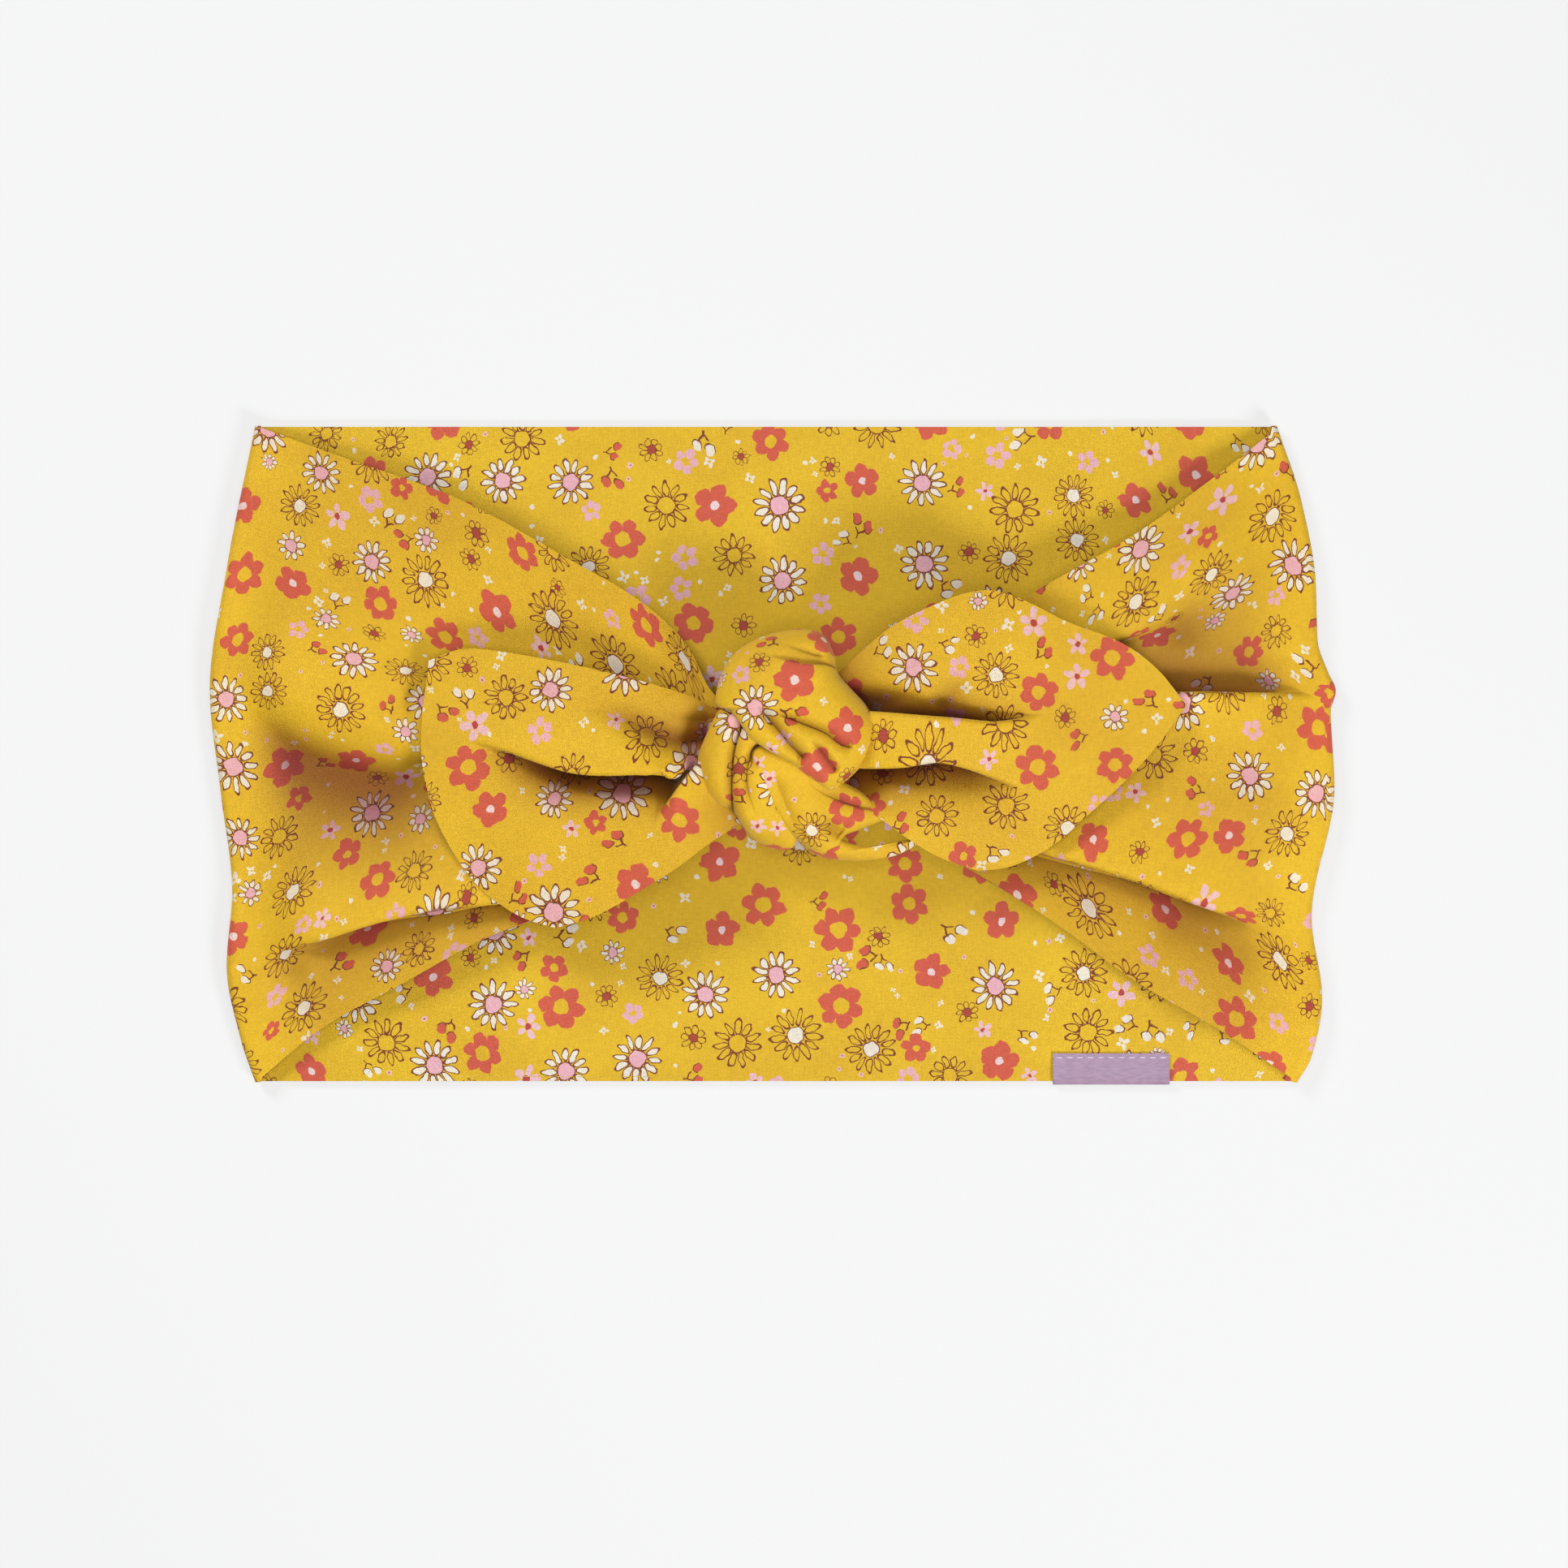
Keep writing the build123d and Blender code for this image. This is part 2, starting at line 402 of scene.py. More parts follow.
def thin_sheet(
    name: str, points: np.ndarray, uv: np.ndarray, outward: float, ply: Ply | None = None,
    shade_depth: np.ndarray | None = None, thickness: float = PLY,
) -> bpy.types.Object:
    """Makes a thin sheet, such as one layer of a pair of cloths, with thickness and cut edges.

    Args:
        name: The piece's name.
        points: The middle of the pair, or of a single sheet: rows by columns by three, in millimetres.
        uv: Each point's place on the flat cloth, in metres.
        outward: 1 where columns crossed with rows point to the outer cloth, else -1.
        ply: Which layer of a pair to make, or None for a single sheet.
        shade_depth: How much painted shade each point gets, as a depth in a fold in millimetres: rows by
            columns.
        thickness: The sheet's own thickness.

    Returns:
        The linked object.
    """
    rows, columns = points.shape[:2]
    normals = grid_normals(points) * outward
    middle = points if ply is None else points + normals * PLY_OFFSET * ply.value
    top = (middle + normals * thickness / 2).reshape(-1, 3)
    bottom = (middle - normals * thickness / 2).reshape(-1, 3)
    index = np.arange(rows * columns).reshape(rows, columns)
    a, b = index[:-1, :-1].ravel(), index[:-1, 1:].ravel()
    c, d = index[1:, 1:].ravel(), index[1:, :-1].ravel()
    count = rows * columns
    over = np.column_stack([a, b, c, d])
    under = np.column_stack([a, d, c, b]) + count
    ring = np.concatenate([index[0, :-1], index[:-1, -1], index[-1, :0:-1], index[:0:-1, 0]])
    following = np.roll(ring, -1)
    rim = np.column_stack([following, ring, ring + count, following + count])
    if outward < 0:
        over, under, rim = over[:, ::-1], under[:, ::-1], rim[:, ::-1]
    faces = np.vstack([over, under, rim])
    # painted shade for each vertex, from its depth in a fold
    gloom = fold_gloom(np.zeros(count) if shade_depth is None else shade_depth.ravel())
    return new_mesh_object(
        name, np.vstack([top, bottom]), faces.tolist(), np.vstack([uv.reshape(-1, 2)] * 2),
        len(over) + len(under), np.concatenate([gloom, gloom]),
    )


# ---- Finishes ----


class Value:
    """A number in a node tree, with the usual arithmetic."""

    def __init__(self, graph: "Graph", socket: bpy.types.NodeSocket) -> None:
        """Wraps a socket of the tree."""
        self.graph = graph
        self.socket = socket

    def __add__(self, other: object) -> "Value":
        """Adds another number."""
        return self.graph.math("ADD", self, other)

    def __sub__(self, other: object) -> "Value":
        """Takes another number away."""
        return self.graph.math("SUBTRACT", self, other)

    def __mul__(self, other: object) -> "Value":
        """Multiplies by another number."""
        return self.graph.math("MULTIPLY", self, other)

    def __truediv__(self, other: object) -> "Value":
        """Divides by another number."""
        return self.graph.math("DIVIDE", self, other)

    def __abs__(self) -> "Value":
        """Drops its sign."""
        return self.graph.math("ABSOLUTE", self)

    def exceeds(self, limit: object) -> "Value":
        """Gives 1 where it is over a limit, else 0."""
        return self.graph.math("GREATER_THAN", self, limit)

    def above(self, low: float, high: float, first: float = 0.0, last: float = 1.0) -> "Value":
        """Maps low..high to first..last, smoothly and clipped.

        Args:
            low: Where the change starts.
            high: Where it ends.
            first: The value up to low.
            last: The value from high.

        Returns:
            The mapped value.
        """
        node = self.graph.add("ShaderNodeMapRange", interpolation_type="SMOOTHSTEP")
        self.graph.feed(node, dict(enumerate((self, low, high, first, last))))
        return Value(self.graph, node.outputs[0])

    def below(self, low: float, high: float) -> "Value":
        """Gives 1 under low and 0 over high, smoothly between."""
        return self.above(low, high, 1.0, 0.0)


class Graph:
    """A short way to write a node tree."""

    def __init__(self, tree: bpy.types.NodeTree) -> None:
        """Takes the tree to write in."""
        self.tree = tree

    def add(self, kind: str, **settings: object) -> bpy.types.Node:
        """Adds a node.

        Args:
            kind: The node's type.
            settings: Its properties.

        Returns:
            The node.
        """
        node = self.tree.nodes.new(kind)
        for key, value in settings.items():
            setattr(node, key, value)
        return node

    def feed(self, node: bpy.types.Node, values: dict[str | int, object]) -> bpy.types.Node:
        """Links or sets several inputs of a node.

        Args:
            node: The node.
            values: A socket, a Value or a plain value for each input, by the input's name or number.

        Returns:
            The same node.
        """
        for key, value in values.items():
            socket = node.inputs[key]
            value = value.socket if isinstance(value, Value) else value
            if isinstance(value, bpy.types.NodeSocket):
                self.tree.links.new(value, socket)
            else:
                socket.default_value = value
        return node

    def math(self, operation: str, *values: object) -> Value:
        """Adds a maths node and gives its value."""
        node = self.add("ShaderNodeMath", operation=operation)
        return Value(self, self.feed(node, dict(enumerate(values))).outputs[0])

    def wave(self, value: Value) -> Value:
        """Turns an angle into a wave between 0 and 1."""
        return self.math("SINE", value) * 0.5 + 0.5

    def length(self, x: Value, y: Value) -> Value:
        """Gives the length of a flat arrow."""
        return self.math("SQRT", x * x + y * y)

    def vector(self, operation: str, a: object, b: object) -> bpy.types.NodeSocket:
        """Adds a vector maths node and gives its vector."""
        node = self.add("ShaderNodeVectorMath", operation=operation)
        second = "Scale" if operation == "SCALE" else 1
        return self.feed(node, {0: a, second: b}).outputs[0]

    def join(self, x: object, y: object, z: object = 0.0) -> bpy.types.NodeSocket:
        """Makes a vector of three numbers."""
        return self.feed(self.add("ShaderNodeCombineXYZ"), {0: x, 1: y, 2: z}).outputs[0]

    def split(self, vector: object) -> tuple[Value, ...]:
        """Gives a vector's or a colour's three parts."""
        node = self.feed(self.add("ShaderNodeSeparateXYZ"), {0: vector})
        return tuple(Value(self, part) for part in node.outputs)

    def noise(self, place: object, detail: float, scale: float = 1.0) -> bpy.types.Node:
        """Adds soft noise over a flat place."""
        node = self.add("ShaderNodeTexNoise", noise_dimensions="2D")
        return self.feed(node, {"Vector": place, "Scale": scale, "Detail": detail})

    def cloud(self, place: object, stretch: Point2, detail: float) -> Value:
        """Gives soft noise from 0 to 1, with a count of waves for each millimetre along X and Y."""
        return Value(self, self.noise(self.vector("MULTIPLY", place, (*stretch, 1.0)), detail).outputs["Fac"])

    def bump(self, height: Value, strength: float, depth: float) -> bpy.types.NodeSocket:
        """Turns a height from 0 to 1 into a bent normal: its strength, and its depth in millimetres."""
        node = self.add("ShaderNodeBump")
        return self.feed(node, {"Height": height, "Strength": strength, "Distance": depth * MM}).outputs[0]

    def mix(self, share: object, a: object, b: object, blend: str = "MIX") -> bpy.types.NodeSocket:
        """Mixes two colours.

        Args:
            share: How much of the second there is.
            a: The first colour.
            b: The second.
            blend: How they mix.

        Returns:
            The mixed colour.
        """
        node = self.add("ShaderNodeMix", data_type="RGBA", blend_type=blend)
        first, second = (
            colour if isinstance(colour, bpy.types.NodeSocket) else (*colour, 1.0) for colour in (a, b)
        )
        return self.feed(node, {0: share, 6: first, 7: second}).outputs[2]

    def pick(self, share: object, table: Sequence[tuple[float, Colour]]) -> bpy.types.NodeSocket:
        """Chooses one of several colours by a value.

        Args:
            share: The value, from 0 to 1.
            table: Each colour and the value that it holds from.

        Returns:
            The chosen colour.
        """
        node = self.add("ShaderNodeValToRGB")
        ramp = node.color_ramp
        ramp.interpolation = "CONSTANT"
        ramp.elements[0].position, ramp.elements[1].position = table[0][0], 1.0
        ramp.elements[0].color = (*table[0][1], 1.0)
        ramp.elements[1].color = (*table[-1][1], 1.0)
        for start, colour in table[1:]:
            ramp.elements.new(start).color = (*colour, 1.0)
        return self.feed(node, {0: share}).outputs[0]

    def flat_place(self) -> bpy.types.NodeSocket:
        """Gives the place on the flat cloth, in millimetres."""
        return self.vector("SCALE", self.add("ShaderNodeUVMap", uv_map=FLAT_MAP).outputs[0], 1.0 / MM)


def new_material(name: str) -> tuple[bpy.types.Material, Graph, bpy.types.Node]:
    """Starts a material.

    Args:
        name: Its name.

    Returns:
        The material, its tree's writer and its shader.
    """
    material = bpy.data.materials.new(name)
    material.use_nodes = True
    return material, Graph(material.node_tree), material.node_tree.nodes["Principled BSDF"]


MUSTARD: Colour = (0.590, 0.352, 0.011)
CORAL: Colour = (0.500, 0.080, 0.040)
ROSE: Colour = (0.620, 0.320, 0.330)
CREAM: Colour = (0.640, 0.560, 0.420)
BROWN: Colour = (0.160, 0.032, 0.010)
LILAC: Colour = (0.274, 0.177, 0.270)


@dataclass(frozen=True)
class Blossom:
    """One kind of printed flower, its proportions as shares of its radius."""

    share: float                  # how much of its layer it takes
    radius: float                 # millimetres
    petals: int
    petal_centre: float
    petal_length: float           # half the petal's length
    petal_width: float            # half the petal's width
    outline: float                # half the drawn line's width, as a share of the petal, or 0
    hub: float
    petal_colour: Colour
    hub_colour: Colour


LARGE_FLOWERS = (
    Blossom(0.22, 4.9, 6, 0.60, 0.40, 0.36, 0.0, 0.34, CORAL, MUSTARD),
    Blossom(0.26, 5.9, 12, 0.69, 0.31, 0.135, 0.17, 0.36, CREAM, ROSE),
    Blossom(0.17, 4.6, 5, 0.55, 0.45, 0.42, 0.0, 0.20, CORAL, (0.66, 0.48, 0.44)),
    Blossom(0.20, 5.9, 13, 0.69, 0.30, 0.120, 0.18, 0.31, MUSTARD, CREAM),
    Blossom(0.15, 5.2, 11, 0.68, 0.31, 0.135, 0.19, 0.36, MUSTARD, MUSTARD),
)
SMALL_FLOWERS = (
    Blossom(0.26, 2.9, 5, 0.62, 0.36, 0.36, 0.0, 0.28, ROSE, MUSTARD),
    Blossom(0.16, 3.4, 5, 0.56, 0.43, 0.40, 0.0, 0.26, CORAL, MUSTARD),
    Blossom(0.22, 2.8, 8, 0.66, 0.32, 0.23, 0.16, 0.36, MUSTARD, (0.32, 0.045, 0.025)),
    Blossom(0.20, 3.4, 9, 0.68, 0.31, 0.18, 0.15, 0.40, CREAM, ROSE),
    Blossom(0.16, 3.6, 5, 0.58, 0.40, 0.27, 0.0, 0.22, (0.64, 0.38, 0.38), (0.38, 0.04, 0.04)),
)
SPECKS = (
    Blossom(0.45, 1.5, 4, 0.50, 0.48, 0.32, 0.0, 0.22, CREAM, MUSTARD),
    Blossom(0.25, 0.7, 5, 0.45, 0.50, 0.50, 0.0, 0.30, (0.63, 0.38, 0.32), CORAL),
    Blossom(0.30, 0.6, 5, 0.45, 0.50, 0.50, 0.0, 0.10, CREAM, CREAM),
)


@dataclass(frozen=True)
class Scatter:
    """A layer of scattered motifs, in millimetres."""

    spacing: float                # their usual spacing
    unevenness: float
    shift: Point2                 # the layer's own place on the cloth
    least: float                  # the smallest radius that is still drawn
    taken: float = 0.0            # the radius that layers beneath it keep off


LARGE_LAYER = Scatter(15.5, 0.66, (3.0, 11.0), least=2.8, taken=5.4)
SMALL_LAYER = Scatter(10.0, 0.75, (41.0, 7.0), least=1.9, taken=3.0)
BUD_LAYER = Scatter(7.6, 0.80, (13.0, 57.0), least=1.9, taken=2.6)
SPECK_LAYER = Scatter(4.6, 0.90, (71.0, 29.0), least=0.5)


@dataclass(frozen=True)
class Bud:
    """A pair of buds on a forked stem, in millimetres from its middle."""

    aside: float = 1.35           # each bud's middle
    above: float = 0.75
    half_width: float = 0.95
    half_length: float = 1.20
    lean: float = 0.35            # how much higher the right bud stands, for each millimetre across
    edge: Point2 = (0.88, 1.02)   # shares of the bud over which its colour ends
    cup: float = 1.05             # where the cup's line lies, as a share of the bud
    cup_line: Point2 = (0.07, 0.16)   # half the line's width, from full to none
    cup_top: Point2 = (0.0, 0.4)
    fork_end: float = 1.9         # how far below the middle the fork meets the stem
    fork_line: Point2 = (0.18, 0.36)
    fork_width: Point2 = (1.1, 1.3)
    stem_line: Point2 = (0.12, 0.26)
    stem_top: float = -1.7
    stem_foot: Point2 = (-2.9, -2.7)
    size_spread: Point2 = (0.80, 1.10)
    coral_from: float = 0.48      # share of the buds that are cream


class Print:
    """The scattered flower print, drawn on a cloth's own flat coordinates."""

    most_petals = 20.0            # colours hold only 0 to 1, so counts and radii are stored as shares
    widest = 10.0
    least_radius = 0.2
    spread_share = 0.49           # of the way to the next motif that a motif may fill
    sector_start = 100.5          # keeps petal numbers positive, with a petal's middle on each
    least_outline = 0.05          # a kind with a thinner outline than this isn't outlined
    size_spread = (0.86, 1.06)    # shares by which flowers and single petals differ
    length_spread = (0.84, 1.08)
    width_spread = (0.82, 1.06)
    petal_edge = (0.94, 1.06)     # shares of its size over which each shape's colour ends
    outline_edge = (-0.08, 0.04)
    hub_edge = (-0.02, 0.02)
    ring_line = (0.012, 0.032)

    def __init__(self, graph: Graph, place: bpy.types.NodeSocket) -> None:
        """Takes the tree and the place on the cloth, in millimetres."""
        self.graph = graph
        self.place = place

    def nearest(
        self, layer: Scatter, place: object, feature: str = "F1"
    ) -> tuple[Value, bpy.types.NodeSocket, bpy.types.NodeSocket]:
        """Finds a layer's nearest motif.

        Args:
            layer: The layer.
            place: Where to look from.
            feature: F1 for the nearest motif and F2 for the next.

        Returns:
            Its distance in millimetres, its own random colour, and its centre.
        """
        graph = self.graph
        shift = (*layer.shift, 0.0)
        node = graph.add("ShaderNodeTexVoronoi", voronoi_dimensions="2D", feature=feature)
        graph.feed(node, {
            "Vector": graph.vector("ADD", place, shift),
            "Scale": 1.0 / layer.spacing,
            "Randomness": layer.unevenness,
        })
        distance = Value(graph, node.outputs["Distance"]) * layer.spacing
        return distance, node.outputs["Color"], graph.vector("SUBTRACT", node.outputs["Position"], shift)

    def room(self, layer: Scatter, centre: object, keep_off: Sequence[Scatter]) -> Value:
        """Gives the largest radius that a motif may have.

        Args:
            layer: The motif's own layer.
            centre: The motif's centre.
            keep_off: The layers it stays clear of.

        Returns:
            The radius, in millimetres.
        """
        room = self.nearest(layer, centre, "F2")[0] * self.spread_share
        for other in keep_off:
            room = self.graph.math("MINIMUM", room, self.nearest(other, centre)[0] - other.taken)
        return room

    def local(self, centre: object, turn: Value) -> tuple[Value, Value]:
        """Gives the place from a motif's centre, as distance and angle."""
        x, y, _ = self.graph.split(self.graph.vector("SUBTRACT", self.place, centre))
        return self.graph.length(x, y), self.graph.math("ARCTAN2", y, x) + turn * (2 * math.pi)

    def of_kind(
        self, which: Value, kinds: Sequence[Blossom], read: Callable[[Blossom], Colour]
    ) -> bpy.types.NodeSocket:
        """Gives three numbers of a motif's own kind, as a colour.

        Args:
            which: The motif's random number, which chooses its kind.
            kinds: The kinds.
            read: Reads the three numbers from a kind.

        Returns:
            The colour.
        """
        starts = accumulate((kind.share for kind in kinds[:-1]), initial=0.0)
        return self.graph.pick(which, [(start, read(kind)) for start, kind in zip(starts, kinds)])

    def blossoms(
        self, under: object, layer: Scatter, kinds: Sequence[Blossom], keep_off: Sequence[Scatter]
    ) -> bpy.types.NodeSocket:
        """Draws a layer of flowers.

        Args:
            under: The colour beneath.
            layer: How they are scattered.
            kinds: The kinds of flower.
            keep_off: The layers they stay clear of.

        Returns:
            The colour with the flowers on it.
        """
        graph = self.graph
        _, chance, centre = self.nearest(layer, self.place)
        which, turn, size = graph.split(chance)
        petals, petal_centre, petal_length = graph.split(self.of_kind(which, kinds, lambda kind: (
            kind.petals / self.most_petals, kind.petal_centre, kind.petal_length)))
        petal_width, outline, hub_radius = graph.split(self.of_kind(
            which, kinds, lambda kind: (kind.petal_width, kind.outline, kind.hub)))
        reach = graph.split(self.of_kind(which, kinds, lambda kind: (kind.radius / self.widest, 0, 0)))[0]
        wanted = reach * self.widest * size.above(0, 1, *self.size_spread)
        allowed = graph.math("MINIMUM", wanted, self.room(layer, centre, keep_off))
        radius = graph.math("MAXIMUM", allowed, self.least_radius)
        shown = radius.exceeds(layer.least)
        distance, angle = self.local(centre, turn)
        r = distance / radius
        petals = graph.math("ROUND", petals * self.most_petals)
        turns = angle * petals / (2 * math.pi) + self.sector_start
        sector = (graph.math("FRACT", turns) - 0.5) * (2 * math.pi) / petals
        own = graph.add("ShaderNodeTexWhiteNoise", noise_dimensions="2D")
        graph.feed(own, {"Vector": graph.join(graph.math("FLOOR", turns), size)})
        long, wide, _ = graph.split(own.outputs["Color"])
        petal_length = petal_length * long.above(0, 1, *self.length_spread)
        petal_width = petal_width * wide.above(0, 1, *self.width_spread)
        out = (r * graph.math("COSINE", sector) - petal_centre) / petal_length
        oval = graph.length(out, r * graph.math("SINE", sector) / petal_width)
        outlined = outline.exceeds(self.least_outline) * shown
        petal = oval.below(*self.petal_edge) * shown
        line = (abs(oval - 1.0) - outline).below(*self.outline_edge) * outlined
        hub = (r - hub_radius).below(*self.hub_edge) * shown
        ring = abs(r - hub_radius).below(*self.ring_line) * outlined
        colour = graph.mix(petal, under, self.of_kind(which, kinds, lambda kind: kind.petal_colour))
        colour = graph.mix(line, colour, BROWN)
        colour = graph.mix(hub, colour, self.of_kind(which, kinds, lambda kind: kind.hub_colour))
        return graph.mix(ring, colour, BROWN)

    def buds(
        self, under: object, layer: Scatter, bud: Bud, keep_off: Sequence[Scatter]
    ) -> bpy.types.NodeSocket:
        """Draws a layer of small buds on forked stems.

        Args:
            under: The colour beneath.
            layer: How they are scattered.
            bud: Their shape.
            keep_off: The layers they stay clear of.

        Returns:
            The colour with the buds on it.
        """
        graph = self.graph
        _, chance, centre = self.nearest(layer, self.place)
        which, turn, size = graph.split(chance)
        shown = self.room(layer, centre, keep_off).exceeds(layer.least)
        distance, angle = self.local(centre, turn)
        scale = size.above(0, 1, *bud.size_spread)
        x = distance * graph.math("COSINE", angle) / scale
        y = distance * graph.math("SINE", angle) / scale
        wide = abs(x)
        bud_y = (x * bud.lean + y - bud.above) / bud.half_length
        oval = graph.length((wide - bud.aside) / bud.half_width, bud_y)
        cup = abs(oval - bud.cup).below(*bud.cup_line) * bud_y.below(*bud.cup_top)
        fork = abs(y - wide + bud.fork_end).below(*bud.fork_line) * wide.below(*bud.fork_width)
        stem = wide.below(*bud.stem_line) * y.above(*bud.stem_foot) * graph.math("LESS_THAN", y, bud.stem_top)
        drawn = graph.math("MAXIMUM", graph.math("MAXIMUM", fork, stem), cup)
        petal_colour = graph.pick(which, [(0.0, CREAM), (bud.coral_from, CORAL)])
        colour = graph.mix(oval.below(*bud.edge) * shown, under, petal_colour)
        return graph.mix(drawn * shown, colour, BROWN)

    def draw(self, ground: Colour) -> bpy.types.NodeSocket:
        """Draws the whole print over a ground colour, and gives its colour."""
        colour = self.blossoms(ground, SPECK_LAYER, SPECKS, (LARGE_LAYER, SMALL_LAYER, BUD_LAYER))
        colour = self.buds(colour, BUD_LAYER, Bud(), (LARGE_LAYER, SMALL_LAYER))
        colour = self.blossoms(colour, SMALL_LAYER, SMALL_FLOWERS, (LARGE_LAYER,))
        return self.blossoms(colour, LARGE_LAYER, LARGE_FLOWERS, ())


@dataclass(frozen=True)
class PrintedCloth:
    """Fine woven viscose, printed all over, drawn on the cloth's UV map."""

    name: str
    slot: str
    shift: Point2 = (0.0, 0.0)    # where on the print this piece was cut, in millimetres
    tone: Colour = (1.0, 1.0, 1.0)
    deep: Colour = (0.30, 0.15, 0.20)   # painted shade: what the colour is multiplied by where the painted shade is full
    sheen: float = 0.10
    sheen_tint: Colour = (1.0, 0.86, 0.45)
    roughness: float = 0.62
    thread: float = 0.42          # millimetres from thread to thread
    thread_depth: float = 0.12    # millimetres
    wander: float = 0.9           # how far the printed lines wander, in millimetres
    wander_scale: float = 0.55    # waves of it for each millimetre
    slub: float = 0.24            # how much single threads differ in tone
    slub_stretch: Point2 = (2.6, 0.5)   # waves of it for each millimetre, across and along a thread
    patch: float = 0.20           # how much whole patches differ in tone, and how much more in green
    patch_green: float = 0.10
    patch_stretch: Point2 = (0.045, 0.06)
    thread_tone: float = 0.035

    def make(self) -> bpy.types.Material:
        """Builds the material."""
        material, graph, shader = new_material(self.name)
        place = graph.vector("ADD", graph.flat_place(), (*self.shift, 0.0))
        wobble = graph.noise(place, detail=1.0, scale=self.wander_scale).outputs["Color"]
        drift = graph.vector("SCALE", graph.vector("SUBTRACT", wobble, (0.5, 0.5, 0.5)), self.wander)
        threads, shade = self.weave(graph, place)
        colour = Print(graph, graph.vector("ADD", place, drift)).draw(MUSTARD)
        colour = graph.mix(1.0, colour, shade, "MULTIPLY")
        colour = graph.mix(1.0, colour, self.tone, "MULTIPLY")
        # painted shade: the colour darkens toward its shaded copy by the vertex attribute
        gloom = graph.add("ShaderNodeAttribute", attribute_name=SHADE_ATTRIBUTE).outputs["Fac"]
        graph.feed(shader, {
            "Base Color": graph.mix(gloom, colour, graph.mix(1.0, colour, self.deep, "MULTIPLY")),
            "Normal": graph.bump(threads, strength=0.35, depth=self.thread_depth),
            "Roughness": self.roughness,
            "Specular IOR Level": 0.25,
            "Sheen Weight": self.sheen,
            "Sheen Roughness": 0.45,
            "Sheen Tint": (*self.sheen_tint, 1.0),
        })
        return material

    def weave(self, graph: Graph, place: object) -> tuple[Value, bpy.types.NodeSocket]:
        """Draws the threads.

        Args:
            graph: The material's tree.
            place: The place on the cloth, in millimetres.

        Returns:
            The threads' height, and a colour that darkens and lightens the print.
        """
        x, y, _ = graph.split(place)
        pitch = 2 * math.pi / self.thread
        threads = graph.math("SINE", x * pitch) * graph.math("SINE", y * pitch)
        warp, weft, patch = (
            graph.cloud(place, stretch, detail=3.0) - 0.5
            for stretch in (self.slub_stretch, self.slub_stretch[::-1], self.patch_stretch)
        )
        total = (warp + weft) * self.slub + patch * self.patch + threads * self.thread_tone + 1.0
        return threads, graph.join(total, total + patch * self.patch_green, total)


@dataclass(frozen=True)
class Thread:
    """Fine sewing thread, twisted, drawn on Object coordinates."""

    name: str
    slot: str
    colour: Colour
    twist: float = 0.25           # millimetres from twist to twist
    shadow: float = 0.78          # how dark it is between the twists
    depth: float = 0.04           # of the twists, in millimetres

    def make(self) -> bpy.types.Material:
        """Builds the material."""
        material, graph, shader = new_material(self.name)
        x, y, _ = graph.split(graph.add("ShaderNodeTexCoord").outputs["Object"])
        strand = graph.wave((x + y) * (2 * math.pi / (self.twist * MM)))
        dark = tuple(part * self.shadow for part in self.colour)
        graph.feed(shader, {
            "Base Color": graph.mix(strand, dark, self.colour),
            "Normal": graph.bump(strand, strength=0.5, depth=self.depth),
            "Roughness": 0.5,
            "Sheen Weight": 0.2,
        })
        return material


@dataclass(frozen=True)
class Ribbon:
    """Soft plain satin ribbon with fine ribs across it, drawn on its UV map."""

    name: str
    slot: str
    colour: Colour = LILAC
    sheen_tint: Colour = (0.95, 0.88, 1.0)
    rib: float = 0.32             # millimetres from rib to rib
    depth: float = 0.04           # of the ribs, in millimetres
    darkest: float = 0.88         # of its clouding, as shares of the colour
    lightest: float = 1.10
    cloud_stretch: Point2 = (0.5, 1.6)
    cloud_range: Point2 = (0.3, 0.7)
    rib_tone: float = 0.10        # how much lighter its ribs are

    def make(self) -> bpy.types.Material:
        """Builds the material."""
        material, graph, shader = new_material(self.name)
        place = graph.flat_place()
        ribs = graph.wave(graph.split(place)[1] * (2 * math.pi / self.rib))
        cloud = graph.cloud(place, self.cloud_stretch, detail=4.0).above(*self.cloud_range)
        dark, light = (tuple(part * share for part in self.colour) for share in (self.darkest, self.lightest))
        graph.feed(shader, {
            "Base Color": graph.mix(ribs * self.rib_tone, graph.mix(cloud, dark, light), light),
            "Normal": graph.bump(ribs, strength=0.2, depth=self.depth),
            "Roughness": 0.42,
            "Sheen Weight": 0.25,
            "Sheen Tint": (*self.sheen_tint, 1.0),
        })
        return material


Finish = PrintedCloth | Thread | Ribbon


